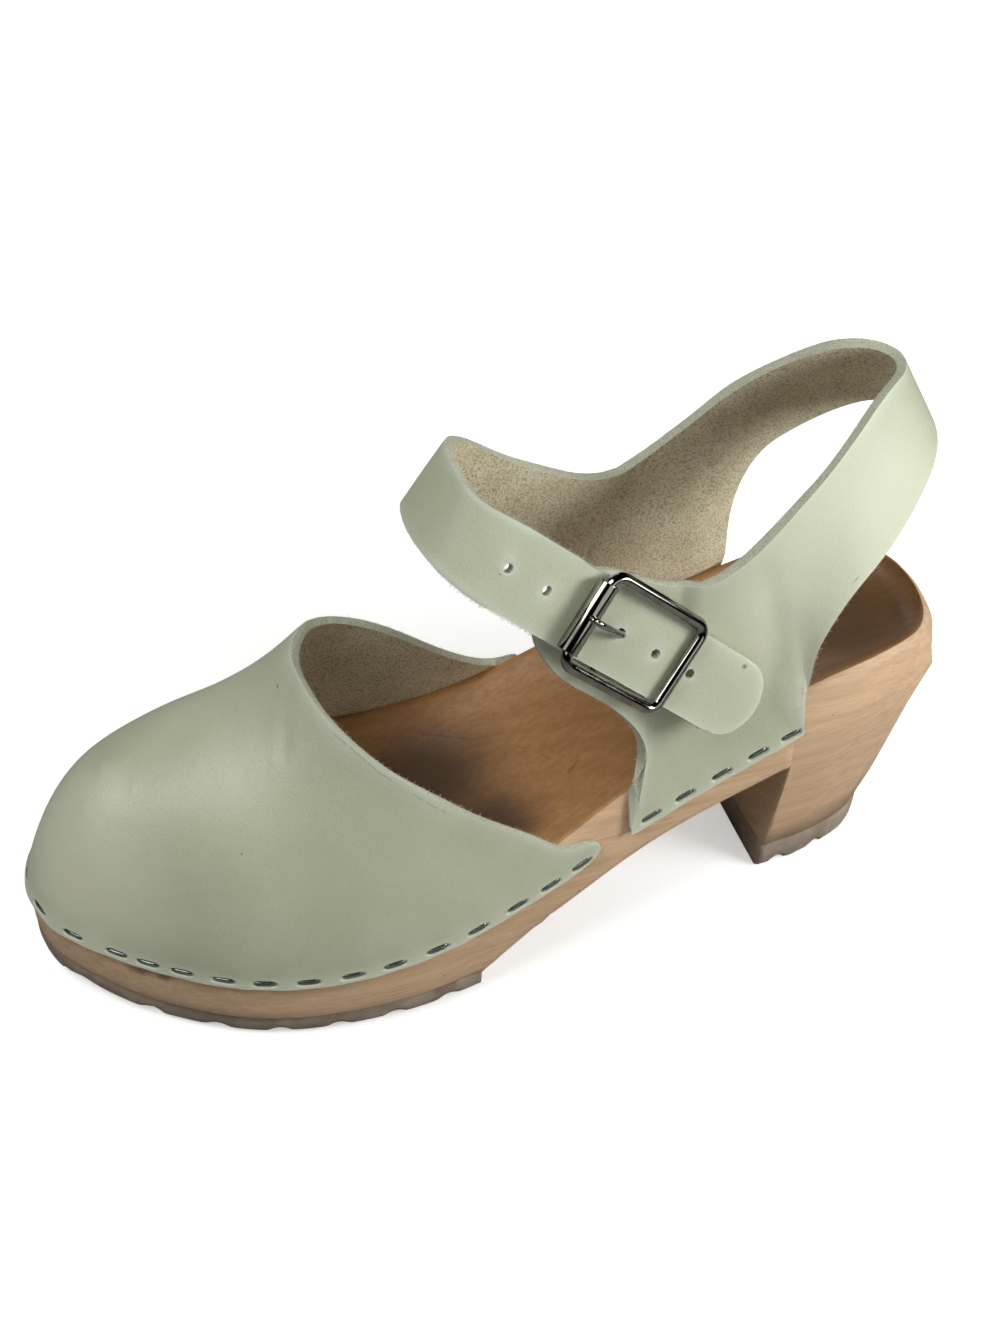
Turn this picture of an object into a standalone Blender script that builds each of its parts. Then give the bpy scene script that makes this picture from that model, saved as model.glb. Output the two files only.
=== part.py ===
"""Clog for the left foot: carved wooden platform sole, stapled leather vamp, back strap with buckle.

Tables and sizes are in millimetres and turned into metres when a mesh is made. +X points to the toe,
+Y to the outer side of the foot and +Z up. The origin is on the floor, in the middle of the shoe.
"""

import math
from collections import namedtuple

import bmesh
import bpy
import numpy as np
from mathutils import Matrix, Vector

MM = 0.001
GAP = 0.3
WELD = 1e-7
TINY = 1e-6
CUT_PAST = 2.0
OUTER, INNER = 1, -1

# Sole
LAND_SLOPE = 0.37
BREAST_X = -68.7
BREAST_SLANT = 1.0
HEEL_TAPER_X = 0.80
HEEL_TAPER_Y = 0.91
LIFT_HEIGHT = 11.4
TREAD_HEIGHT = 7.4
TREAD_REAR_X = 21.2
TOE_SPRING = 5.0
TOE_SPRING_X = 95.0
FOOTBED_CUP_HEEL = 5.5
FOOTBED_CUP_BALL = 3.0
FOOTBED_CUP_POWER = 3
FOOTBED_TIP_WIDTH = 20.0
FOOTBED_STRIPS = 8
UNDERSIDE_STRIPS = 6
HEEL_STATIONS = 14
FRONT_STATIONS = 30
TREAD_STATIONS = 16
ROUND_END_STATIONS = 7

# Cross lugs under the rubber, as shares of one pitch measured from the middle of a lug
LUG_PITCH = 15.4
LUG_FIRST_GROOVE_X = 32.0
LIFT_LUG_PITCH = 13.0
LIFT_FIRST_GROOVE_X = -102.0
LUG_DEPTH = 2.2
LUG_END_MARGIN = 0.8
LUG_PROFILE = ((0.0, 0.0), (0.30, 0.0), (0.39, 0.72), (0.5, 1.0), (0.61, 0.72), (0.70, 0.0))

# Leather
LEATHER = 2.6
LAND_BARE = 3.6
VAMP_LEAN = 0.78
VAMP_RISE = 0.60
VAMP_ROUND = 0.52
SPINE_BEND_X = 78.0
SPINE_SHARE = 0.45
VAMP_STATIONS = 22
STRAP_HALF_WIDTH = 10.4
PANEL_RISE = 0.25
PANEL_ROUND = 0.6

# Staples
STAPLE_LENGTH = 7.0
STAPLE_WIDTH = 1.2
STAPLE_THICK = 0.7
STAPLE_EDGE = 0.2
STAPLE_RISE = 6.6
STAPLE_CLEAR = 0.7
STAPLE_OUTER_X = (-5.2, 3.8, 13.5, 24.8, 36.2, 48.0, 59.2, 70.5, 81.4, 91.3, 100.8, 108.6, 115.6)
STAPLE_INNER_COUNT = 15
STAPLE_INNER_END_X = -6.0
STAPLE_PANEL_X = (-25.3, -34.9, -45.4, -55.8, -65.4)

# Buckle, measured along the strap, across it and out from its middle layer
BUCKLE_FROM_HOLE = 2.2
FRAME_FRONT = -14.3
FRAME_REAR = 17.3
FRAME_HALF_WIDTH = 12.1
FRAME_ASIDE = -0.3
FRAME_CORNER = 3.2
FRAME_WIRE = 1.45
BAR_WIRE = 1.0
BAR_BEND = 1.2
ROLLER_RADIUS = 2.75
ROLLER_HALF_LENGTH = 9.35
ROLLER_SLACK = 0.6
PRONG_RADIUS = 0.85
PRONG_BEND = 2.0
PRONG_TIP = 1.4
PRONG_EYE_WALL = 0.65
PRONG_EYE_HALF_WIDTH = 1.1
HOLE_RADIUS = 1.3
HOLE_PITCH = 12.1
CHAPE_THICK = 0.8
CHAPE_HALF_WIDTH = 6.0
CHAPE_LENGTH = 14.0
CHAPE_STEP = 3.6
CHAPE_NOTCH_WIDTH = 3.6
CHAPE_NOTCH_LENGTH = 4.4
RIVET_AT = -9.5
RIVET_POST = 1.5
RIVET_SIDES = 20

# Profiles of the rivet's two heads, outward from the chape and inward from the tab
Turn = namedtuple("Turn", "radius rise")
RIVET_FLAT_HEAD = (Turn(0.0, 0.7), Turn(2.6, 0.7), Turn(2.9, 0.4), Turn(2.9, 0.0))
RIVET_DOME_HEAD = (
    Turn(4.0, 0.0), Turn(4.0, 0.6), Turn(3.0, 1.6), Turn(1.4, 1.9), Turn(1.0, 1.2), Turn(0.0, 1.2),
)

Outline = namedtuple("Outline", "x outer inner")
OUTLINE = (
    Outline(-120.0, 0.0, 0.0),
    Outline(-117.6, 13.0, -13.0),
    Outline(-111.0, 22.0, -22.0),
    Outline(-90.0, 29.0, -28.5),
    Outline(-60.0, 31.5, -31.0),
    Outline(-25.0, 34.8, -33.5),
    Outline(10.0, 40.5, -36.0),
    Outline(45.0, 45.0, -42.5),
    Outline(80.0, 40.5, -45.0),
    Outline(105.0, 28.0, -40.5),
    Outline(120.0, 16.5, -32.0),
    Outline(130.0, 5.5, -20.0),
    Outline(133.5, -9.0, -9.0),
)

# Height of the crease around the sole, and of the sloped land above it that the leather lies on
Level = namedtuple("Level", "x ridge land")
LEVELS = (
    Level(-120.0, 65.8, 15.0),
    Level(-85.0, 63.9, 15.0),
    Level(-55.0, 54.7, 15.0),
    Level(-25.0, 42.6, 15.0),
    Level(5.0, 29.2, 13.0),
    Level(35.0, 21.0, 10.0),
    Level(70.0, 18.0, 9.0),
    Level(133.5, 19.5, 9.0),
)

Arch = namedtuple("Arch", "x z")
ARCH = (
    Arch(BREAST_X, 49.9),
    Arch(-34.5, 40.1),
    Arch(-5.8, 25.8),
    Arch(TREAD_REAR_X, TREAD_HEIGHT),
)

# Line along the top of the last, inside the leather
Crest = namedtuple("Crest", "x y z")
CREST = (
    Crest(-20.0, -4.0, 134.0),
    Crest(20.0, -10.0, 125.0),
    Crest(52.0, -12.5, 90.5),
    Crest(66.0, -10.5, 77.5),
    Crest(84.0, -9.5, 69.5),
    Crest(103.0, -9.0, 63.0),
)

# Where the throat cuts each line of the vamp: share -1 is its lower edge, 0 the rim, 1 the crest
Throat = namedtuple("Throat", "share outer_x inner_x")
THROAT = (
    Throat(-1.0, -10.0, -12.0),
    Throat(-0.75, -11.8, -13.5),
    Throat(-0.5, -10.0, -12.0),
    Throat(-0.25, -4.5, -8.5),
    Throat(0.0, -0.5, -4.5),
    Throat(0.05, 4.5, 2.0),
    Throat(0.13, 15.0, 11.5),
    Throat(0.25, 28.0, 23.0),
    Throat(0.40, 39.5, 36.0),
    Throat(0.53, 47.0, 44.0),
    Throat(0.66, 52.0, 49.5),
    Throat(0.80, 56.0, 53.5),
    Throat(0.92, 57.2, 56.2),
    Throat(1.0, 57.6, 57.6),
)

# Back strap, both sides alike: panel strips start above the ridge, sling strips on the lower edge
Panel = namedtuple("Panel", "base_x top_x top_y top_z")
PANEL = (
    Panel(-19.6, -33.0, 22.8, 121.4),
    Panel(-26.0, -34.5, 23.1, 122.0),
    Panel(-33.0, -36.0, 23.4, 122.6),
    Panel(-40.5, -37.8, 23.6, 123.5),
    Panel(-48.0, -39.6, 23.7, 124.7),
    Panel(-55.5, -41.4, 23.7, 126.0),
    Panel(-63.0, -43.2, 23.7, 127.5),
    Panel(-69.3, -45.0, 23.6, 129.0),
)
PANEL_MIDDLE_X = -44.4
PANEL_FAN = 0.82
Strip = namedtuple("Strip", "low_x low_y low_z top_x top_y top_z")
SLING = (
    Strip(-69.8, 27.0, 76.0, -49.0, 23.1, 132.7),
    Strip(-68.9, 27.6, 86.0, -53.0, 22.4, 137.0),
    Strip(-68.8, 28.1, 96.5, -57.5, 21.4, 141.9),
    Strip(-71.0, 28.4, 106.5, -62.5, 19.9, 146.5),
    Strip(-75.0, 28.0, 115.0, -67.5, 17.7, 151.0),
    Strip(-80.0, 26.4, 120.8, -72.5, 15.0, 155.2),
    Strip(-86.0, 23.4, 126.8, -77.5, 11.9, 158.9),
    Strip(-92.3, 19.0, 133.2, -82.2, 8.9, 161.0),
    Strip(-97.4, 13.8, 138.0, -86.2, 6.2, 161.7),
    Strip(-100.8, 7.4, 140.8, -88.7, 3.2, 161.8),
)
SLING_BACK = Strip(-102.0, 0.0, 141.8, -89.6, 0.0, 161.8)

# Inner front edge of the panel, then the ankle strap up to its bend over the instep
ANKLE = (
    Strip(-20.8, -30.0, 57.0, -30.6, -22.0, 121.0),
    Strip(-22.2, -28.6, 66.0, -27.6, -21.2, 121.2),
    Strip(-21.2, -27.0, 74.5, -23.6, -20.1, 122.2),
    Strip(-17.0, -25.2, 82.8, -18.0, -18.6, 124.6),
    Strip(-10.0, -23.3, 91.0, -12.0, -17.4, 128.0),
    Strip(-2.0, -21.0, 101.0, -5.0, -16.6, 132.2),
    Strip(6.5, -19.2, 110.2, 1.5, -16.2, 136.2),
    Strip(15.0, -17.8, 118.2, 7.5, -16.0, 140.4),
    Strip(22.6, -16.0, 125.8, 13.3, -15.3, 145.0),
    Strip(28.5, -12.9, 131.6, 18.5, -12.6, 149.3),
    Strip(32.3, -7.4, 135.8, 21.9, -7.4, 152.8),
    Strip(33.9, 0.6, 137.5, 23.3, -0.4, 154.2),
    Strip(33.6, 10.9, 138.3, 22.2, 7.8, 152.4),
    Strip(30.9, 19.2, 136.7, 18.7, 13.0, 149.9),
)

# Outer front edge of the panel, then the tab under the buckle; y of the tab follows the buckle
Tab = namedtuple("Tab", "low_x low_z top_x top_z flat")
TAB = (
    Tab(-20.8, 57.0, -30.6, 120.8, 0.0),
    Tab(-22.2, 66.0, -27.4, 120.5, 0.1),
    Tab(-20.8, 75.6, -23.2, 121.0, 0.4),
    Tab(-15.9, 85.4, -18.0, 122.4, 0.85),
    Tab(-8.5, 93.0, -13.1, 124.6, 1.0),
    Tab(-0.5, 99.4, -7.1, 126.0, 1.0),
    Tab(4.9, 105.4, -1.5, 125.8, 1.0),
    Tab(7.9, 111.2, 4.0, 122.8, 1.0),
    Tab(8.5, 115.6, 7.3, 119.0, 1.0),
)
PANEL_FRONT_FOOT_Y = 31.2
PANEL_FRONT_FOOT_Z = 57.0
PANEL_FRONT_LEAN = 0.17
TAB_DEPTH = 7.6

# Free end of the ankle strap, straight past the buckle to its tail, measured from its second hole
STRAP_START = np.array((7.5, 22.8, 130.6))
STRAP_END = np.array((-28.8, 31.3, 101.1))
STRAP_EDGE = np.array((-0.639, -0.352, 0.684))
STRAP_LEAD = 14.0
TAIL_LENGTH = 72.5
TAIL_ROUND = 8.6
HOLE_COUNT = 6

Finish = namedtuple("Finish", "colour roughness metallic")
WOOD = Finish((0.55, 0.38, 0.24), 0.55, 0.0)
RUBBER = Finish((0.19, 0.16, 0.14), 0.8, 0.0)
GREEN_LEATHER = Finish((0.36, 0.40, 0.31), 0.5, 0.0)
STEEL = Finish((0.62, 0.62, 0.60), 0.25, 1.0)
BRASS = Finish((0.56, 0.40, 0.18), 0.3, 1.0)


# Numbers and curves

def column(table, name):
    """One named column of a table as an array."""
    return np.array([getattr(row, name) for row in table])


def smooth(table, name, x):
    """Monotone cubic through a table's column, as a function of the table's x."""
    xs, ys = column(table, "x"), column(table, name)
    step = np.diff(xs)
    slope = np.diff(ys) / step
    tangent = np.zeros(len(xs))
    tangent[0], tangent[-1] = slope[0], slope[-1]
    for i in range(1, len(xs) - 1):
        if slope[i - 1] * slope[i] > 0:
            w1, w2 = 2 * step[i] + step[i - 1], step[i] + 2 * step[i - 1]
            tangent[i] = (w1 + w2) / (w1 / slope[i - 1] + w2 / slope[i])
    i = int(np.clip(np.searchsorted(xs, x) - 1, 0, len(step) - 1))
    t = (x - xs[i]) / step[i]
    start = (1 + 2 * t) * (1 - t) ** 2 * ys[i] + t * (1 - t) ** 2 * step[i] * tangent[i]
    end = t * t * (3 - 2 * t) * ys[i + 1] + t * t * (t - 1) * step[i] * tangent[i + 1]
    return start + end


def outline_samples(per_span=40):
    """Closed curve through the outline, split into its outer and inner side from heel to toe."""
    outer = [(row.x, row.outer) for row in OUTLINE]
    inner = [(row.x, row.inner) for row in OUTLINE]
    knots = np.array(outer + inner[-2:0:-1])
    count = len(knots)
    points = []
    for i in range(count):
        p0, p1, p2, p3 = (knots[(i + k) % count] for k in (-1, 0, 1, 2))
        d1, d2, d3 = (math.sqrt(np.linalg.norm(b - a)) for a, b in ((p0, p1), (p1, p2), (p2, p3)))
        m1 = (p2 - p1) + d2 * ((p1 - p0) / d1 - (p2 - p0) / (d1 + d2))
        m2 = (p2 - p1) + d2 * ((p3 - p2) / d3 - (p3 - p1) / (d2 + d3))
        for k in range(per_span):
            t = k / per_span
            start = (1 + 2 * t) * (1 - t) ** 2 * p1 + t * (1 - t) ** 2 * m1
            points.append(start + t * t * (3 - 2 * t) * p2 + t * t * (t - 1) * m2)
    loop = np.array(points + points[:1])
    toe = (len(OUTLINE) - 1) * per_span
    sides = {}
    for side, line in ((OUTER, loop[:toe + 1]), (INNER, loop[toe:][::-1])):
        tangent = np.gradient(line, axis=0)
        normal = side * np.stack((-tangent[:, 1], tangent[:, 0]), axis=1)
        normal /= np.linalg.norm(normal, axis=1)[:, None]
        rising = np.maximum.accumulate(line[:, 0]) + np.arange(len(line)) * TINY / len(line)
        sides[side] = (rising, line[:, 1], normal)
    return sides


SIDES = outline_samples()
HEEL_X, TOE_X = OUTLINE[0].x, OUTLINE[-1].x


def edge(x, side):
    """Point (x, y) of the sole's outline and its outward normal, at x on one side."""
    for tip, facing in ((OUTLINE[0], -1.0), (OUTLINE[-1], 1.0)):
        if (x - tip.x) * facing >= 0:
            return np.array((tip.x, tip.outer)), np.array((facing, 0.0))
    xs, ys, normals = SIDES[side]
    normal = np.array([np.interp(x, xs, normals[:, k]) for k in (0, 1)])
    return np.array((x, np.interp(x, xs, ys))), normal / np.linalg.norm(normal)


def land_point(x, side, share, off=0.0):
    """Point on the land: share 0 on the ridge, 1 on the rim, pushed out by off."""
    point, normal = edge(x, side)
    rise = share * smooth(LEVELS, "land", x)
    flat = point + normal * (off - rise * LAND_SLOPE)
    return np.array((*flat, smooth(LEVELS, "ridge", x) + rise))


def leather_share(x, share):
    """Share of the land's height for a share of the leather on it, which leaves the land bare at the ridge."""
    bare = LAND_BARE / smooth(LEVELS, "land", x)
    return bare + (1.0 - bare) * share


def toe_spring(x):
    """Rise of the tread towards the toe tip."""
    return TOE_SPRING * max(0.0, (x - TOE_SPRING_X) / (TOE_X - TOE_SPRING_X)) ** 2


def wood_base(x, side):
    """Lower edge of the wood: on the heel's lift, along the arch, or on the tread."""
    point, _ = edge(x, side)
    if x <= BREAST_X:
        return np.array((BREAST_X + (x - BREAST_X) * HEEL_TAPER_X, point[1] * HEEL_TAPER_Y, LIFT_HEIGHT))
    if x < TREAD_REAR_X:
        return np.array((*point, smooth(ARCH, "z", x)))
    return np.array((*point, TREAD_HEIGHT + toe_spring(x)))


def quarter_cosine(start, end, count):
    """Stations from start to end, close together near the end."""
    return [start + (end - start) * math.sin(0.5 * math.pi * k / count) for k in range(count + 1)]


def bezier(a, b, c, d, t):
    """Point of a cubic Bezier curve."""
    return (1 - t) ** 3 * a + 3 * (1 - t) ** 2 * t * b + 3 * (1 - t) * t * t * c + t ** 3 * d


def unit(vector):
    """Vector of length one."""
    return vector / np.linalg.norm(vector)


# Meshes and objects

def new_object(name, verts, faces, finish, hidden=False):
    """Closed mesh object from points in millimetres."""
    mesh = bpy.data.meshes.new(name)
    work = bmesh.new()
    points = [work.verts.new(Vector(v) * MM) for v in verts]
    for face in faces:
        corners = [points[i] for i in face]
        if len(set(corners)) > 2:
            work.faces.new(corners)
    bmesh.ops.remove_doubles(work, verts=work.verts, dist=WELD)
    bmesh.ops.dissolve_degenerate(work, edges=work.edges, dist=WELD)
    bmesh.ops.recalc_face_normals(work, faces=work.faces)
    work.to_mesh(mesh)
    work.free()
    return add_object(name, mesh, finish, hidden)


def add_object(name, data, finish, hidden=False):
    """Put a mesh or curve in the scene with its own material, or as a hidden cutter."""
    item = bpy.data.objects.new(name, data)
    bpy.context.collection.objects.link(item)
    if hidden:
        item.hide_render = True
        item.display_type = "WIRE"
        return item
    material = bpy.data.materials.new(name)
    material.use_nodes = True
    shader = material.node_tree.nodes["Principled BSDF"]
    shader.inputs["Base Color"].default_value = (*finish.colour, 1.0)
    shader.inputs["Roughness"].default_value = finish.roughness
    shader.inputs["Metallic"].default_value = finish.metallic
    data.materials.append(material)
    return item


def shade(item, degrees=35):
    """Smooth shading with sharp edges above an angle."""
    item.data.shade_smooth()
    item.data.set_sharp_from_angle(angle=math.radians(degrees))


def grid_faces(rows, columns, closed_columns=False):
    """Quads between neighbouring rows of points, numbered row by row."""
    faces = []
    for r in range(rows - 1):
        for c in range(columns if closed_columns else columns - 1):
            after = (c + 1) % columns
            here, above = r * columns, (r + 1) * columns
            faces.append((here + c, here + after, above + after, above + c))
    return faces


def rings_object(name, rings, finish, cap_first=False, cap_last=False):
    """Solid through closed rings of equal length, whose folded ends close themselves."""
    columns = len(rings[0])
    faces = grid_faces(len(rings), columns, closed_columns=True)
    if cap_first:
        faces.append(tuple(range(columns)))
    if cap_last:
        faces.append(tuple((len(rings) - 1) * columns + c for c in range(columns)))
    item = new_object(name, [p for ring in rings for p in ring], faces, finish)
    shade(item)
    return item


def sheet_object(name, rows, finish, thickness, offset):
    """Leather: an open sheet through rows of points, thickened by a Solidify modifier."""
    mesh_rows, mesh_columns = len(rows), len(rows[0])
    faces = grid_faces(mesh_rows, mesh_columns)
    item = new_object(name, [p for row in rows for p in row], faces, finish)
    wall = item.modifiers.new("wall", "SOLIDIFY")
    wall.thickness = thickness * MM
    wall.offset = offset
    wall.use_quality_normals = True
    shade(item)
    return item


def boolean(item, tool, operation):
    """Join a hidden tool to an item, or cut it away."""
    step = item.modifiers.new(tool.name, "BOOLEAN")
    step.operation = operation
    step.object = tool
    step.solver = "EXACT"


def tube_rings(path, radius, sides, closed=False):
    """Rings of points around a path, each square to the path there."""
    path = [np.array(p, dtype=float) for p in path]
    count = len(path)
    rings = []
    guide = None
    for i, point in enumerate(path):
        before = path[(i - 1) % count] if closed or i else point
        after = path[(i + 1) % count] if closed or i < count - 1 else point
        along = unit(after - before)
        if guide is None:
            guide = np.cross(along, (0.3, 0.5, 0.8))
        guide = unit(guide - along * (guide @ along))
        across = np.cross(along, guide)
        angles = [2 * math.pi * k / sides for k in range(sides)]
        rings.append([point + radius * (math.cos(a) * guide + math.sin(a) * across) for a in angles])
    return rings


def tube_object(name, path, radius, sides, finish, closed=False, hidden=False):
    """Round bar along a path, with flat ends or closed on itself."""
    rings = tube_rings(path, radius, sides, closed)
    rows = len(rings)
    faces = grid_faces(rows, sides, closed_columns=True)
    last = (rows - 1) * sides
    if closed:
        faces += [(last + c, last + (c + 1) % sides, (c + 1) % sides, c) for c in range(sides)]
    else:
        faces += [tuple(range(sides)), tuple(last + c for c in range(sides))]
    item = new_object(name, [p for ring in rings for p in ring], faces, finish, hidden)
    shade(item, 50)
    return item


# Sole

def footbed(x, across):
    """Cupped footbed between the two rims, across 0 on the outer rim and 1 on the inner."""
    outer, inner = land_point(x, OUTER, 1.0), land_point(x, INNER, 1.0)
    share = np.clip((x - HEEL_X) / (TOE_X - HEEL_X), 0, 1)
    cup = FOOTBED_CUP_HEEL + (FOOTBED_CUP_BALL - FOOTBED_CUP_HEEL) * share
    ends = min(1.0, np.linalg.norm(outer - inner) / (2 * cup + FOOTBED_TIP_WIDTH))
    point = outer + (inner - outer) * across
    point[2] -= cup * ends * (1 - abs(2 * across - 1) ** FOOTBED_CUP_POWER)
    return point


def wood_ring(x):
    """Section of the sole at one station, from the outer lower edge over the top and back below."""
    ring = [wood_base(x, OUTER), land_point(x, OUTER, 0.0)]
    ring += [footbed(x, k / FOOTBED_STRIPS) for k in range(FOOTBED_STRIPS + 1)]
    ring += [land_point(x, INNER, 0.0), wood_base(x, INNER)]
    start, end = wood_base(x, INNER), wood_base(x, OUTER)
    ring += [start + (end - start) * k / UNDERSIDE_STRIPS for k in range(1, UNDERSIDE_STRIPS)]
    return ring


def make_wood_sole():
    """One carved piece with footbed, land, platform, arch and heel."""
    heel = quarter_cosine(BREAST_X, HEEL_X, HEEL_STATIONS)[::-1]
    front = quarter_cosine(BREAST_X + BREAST_SLANT, TOE_X, FRONT_STATIONS)
    front = sorted(front + [TREAD_REAR_X])
    rings_object("wood_sole", [wood_ring(x) for x in heel + front], WOOD)


def lug_groove(x, first, pitch):
    """Depth of the groove at x: zero on a lug and full between two lugs."""
    place = ((x - first) / pitch + 0.5) % 1.0
    return LUG_DEPTH * np.interp(place, *zip(*LUG_PROFILE, (1.0, 0.0)))


def lug_stations(start, end, first, pitch):
    """Places where the lug profile bends, between start and end."""
    number = int((end - start) / pitch) + 3
    places = [first + pitch * (k - 2 - 0.5 + share) for k in range(number + 2) for share, _ in LUG_PROFILE]
    return [x for x in places if start + LUG_END_MARGIN < x < end - LUG_END_MARGIN]


def rubber_ring(top_outer, top_inner, floor, strips=4):
    """Section of a rubber piece between its top edges and the floor line."""
    low_outer = np.array((*top_outer[:2], floor))
    low_inner = np.array((*top_inner[:2], floor))
    ring = [top_outer, low_outer]
    ring += [low_outer + (low_inner - low_outer) * k / strips for k in range(1, strips)]
    ring += [low_inner, top_inner]
    ring += [top_inner + (top_outer - top_inner) * k / strips for k in range(1, strips)]
    return ring


def make_forefoot_tread():
    """Rubber under the platform, with cross grooves and toe spring."""
    stations = quarter_cosine(TREAD_REAR_X, TOE_X, TREAD_STATIONS)[-ROUND_END_STATIONS:]
    straight_end = stations[0]
    stations += [TREAD_REAR_X] + lug_stations(TREAD_REAR_X, straight_end, LUG_FIRST_GROOVE_X, LUG_PITCH)
    rings = []
    for x in sorted(stations):
        tops = [wood_base(x + TINY, side) - (0, 0, GAP) for side in (OUTER, INNER)]
        rings.append(rubber_ring(*tops, toe_spring(x) + lug_groove(x, LUG_FIRST_GROOVE_X, LUG_PITCH)))
    rings_object("forefoot_tread", rings, RUBBER, cap_first=True)


def make_heel_lift():
    """Rubber under the heel, with cross grooves."""
    def foot(x):
        return BREAST_X + (x - BREAST_X) * HEEL_TAPER_X

    back = quarter_cosine(BREAST_X, HEEL_X, HEEL_STATIONS)[-ROUND_END_STATIONS:]
    places = lug_stations(foot(back[0]), BREAST_X, LIFT_FIRST_GROOVE_X, LIFT_LUG_PITCH)
    stations = back + [BREAST_X] + [BREAST_X + (x - BREAST_X) / HEEL_TAPER_X for x in places]
    rings = []
    for x in sorted(stations):
        tops = [wood_base(x, side) - (0, 0, GAP) for side in (OUTER, INNER)]
        rings.append(rubber_ring(*tops, lug_groove(foot(x), LIFT_FIRST_GROOVE_X, LIFT_LUG_PITCH)))
    rings_object("heel_lift", rings, RUBBER, cap_last=True)


# Vamp

def vamp_point(x, side, share):
    """Inner face of the vamp: up the land, then over the last to its crest."""
    if share <= 0:
        return land_point(x, side, leather_share(x, 1.0 + share), GAP)
    _, normal = edge(x, side)
    rim = land_point(x, side, 1.0, GAP)
    spine_x = min(x, SPINE_BEND_X) + max(0.0, x - SPINE_BEND_X) * SPINE_SHARE
    crest = np.array((spine_x, smooth(CREST, "y", spine_x), smooth(CREST, "z", spine_x)))
    lean = unit(np.array((*(-normal * LAND_SLOPE * VAMP_LEAN), 1.0)))
    level = (crest - rim) * (1, 1, 0)
    rise = crest[2] - rim[2]
    return bezier(rim, rim + lean * rise * VAMP_RISE, crest - level * VAMP_ROUND, crest, share)


def make_vamp():
    """Leather from the outer wing round the toe to the inner wing, open at throat and below."""
    rows = []
    for cut in THROAT:
        outer = quarter_cosine(cut.outer_x, TOE_X, VAMP_STATIONS)
        inner = quarter_cosine(cut.inner_x, TOE_X, VAMP_STATIONS)
        line = [vamp_point(x, OUTER, cut.share) for x in outer]
        line += [vamp_point(x, INNER, cut.share) for x in inner[-2::-1]]
        rows.append(line)
    sheet_object("vamp", rows, GREEN_LEATHER, LEATHER, 1.0)


# Back strap

STRAP_ALONG = unit(STRAP_END - STRAP_START)
STRAP_ACROSS = unit(STRAP_EDGE - STRAP_ALONG * (STRAP_EDGE @ STRAP_ALONG))
STRAP_OUT = unit(np.cross(STRAP_ALONG, STRAP_ACROSS))
BUCKLE_CENTRE = STRAP_START + STRAP_ALONG * (2 * HOLE_PITCH + BUCKLE_FROM_HOLE)


def at_buckle(along, across, out):
    """Point in the buckle's own frame."""
    return BUCKLE_CENTRE + along * STRAP_ALONG + across * STRAP_ACROSS + out * STRAP_OUT


def tab_y(x, z):
    """Middle layer of the tab, a plane behind the buckle."""
    middle = at_buckle(0, 0, -TAB_DEPTH)
    return middle[1] - ((x - middle[0]) * STRAP_OUT[0] + (z - middle[2]) * STRAP_OUT[2]) / STRAP_OUT[1]


STRIP_SHARES = (0.0, 0.1, 0.2, 0.36, 0.52, 0.68, 0.84, 1.0)
PANEL_LAND_POINTS = 2


def straight_strip(low, top):
    """Strip of the strap across its width, from its lower edge to its upper edge."""
    low, top = np.array(low), np.array(top)
    return [low + (top - low) * share for share in STRIP_SHARES]


def panel_strip(panel, side):
    """Strip of a stapled panel: up the land, then along the side of the heel to the upper edge."""
    off = GAP + LEATHER / 2
    rim_x = PANEL_MIDDLE_X + (panel.base_x - PANEL_MIDDLE_X) * PANEL_FAN
    steps = [k / PANEL_LAND_POINTS for k in range(PANEL_LAND_POINTS + 1)]
    stations = [(panel.base_x + (rim_x - panel.base_x) * k, k) for k in steps]
    land = [land_point(x, side, leather_share(x, k), off) for x, k in stations]
    foot, rim = land[:-1], land[-1]
    top = np.array((panel.top_x, side * panel.top_y, panel.top_z))
    lean = unit(rim - foot[0])
    shares = np.linspace(0, 1, len(STRIP_SHARES) - PANEL_LAND_POINTS)
    rise = top[2] - rim[2]
    low_pull, high_pull = rim + lean * rise * PANEL_RISE, rim + (top - rim) * PANEL_ROUND
    return foot + [bezier(rim, low_pull, high_pull, top, t) for t in shares]


def tab_strip(tab):
    """Strip of the outer panel's front, which flattens into the tab behind the buckle."""
    ends = []
    for x, z in ((tab.low_x, tab.low_z), (tab.top_x, tab.top_z)):
        panel_y = PANEL_FRONT_FOOT_Y - (z - PANEL_FRONT_FOOT_Z) * PANEL_FRONT_LEAN
        ends.append((x, panel_y + (tab_y(x, z) - panel_y) * tab.flat, z))
    return straight_strip(*ends)


def tail_strips():
    """Straight free end of the ankle strap, with a round tail."""
    strips = []
    tail_start = TAIL_LENGTH - TAIL_ROUND
    places = [(p, STRAP_HALF_WIDTH) for p in np.arange(-STRAP_LEAD, tail_start - 2, HOLE_PITCH / 2)]
    rounding = [math.radians(a) for a in (0, 25, 45, 62, 76, 86)]
    places += [(tail_start + TAIL_ROUND * math.sin(a), STRAP_HALF_WIDTH * math.cos(a)) for a in rounding]
    for place, half in places:
        middle = STRAP_START + STRAP_ALONG * place
        strips.append(straight_strip(middle - STRAP_ACROSS * half, middle + STRAP_ACROSS * half))
    return strips


def halve_steps(rows):
    """Rows with one more between each two, on a smooth curve through them."""
    rows = [np.array(row) for row in rows]
    finer = [rows[0]]
    for k in range(len(rows) - 1):
        before, after = rows[max(k - 1, 0)], rows[min(k + 2, len(rows) - 1)]
        finer += [(9 * (rows[k] + rows[k + 1]) - before - after) / 16, rows[k + 1]]
    return finer


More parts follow.
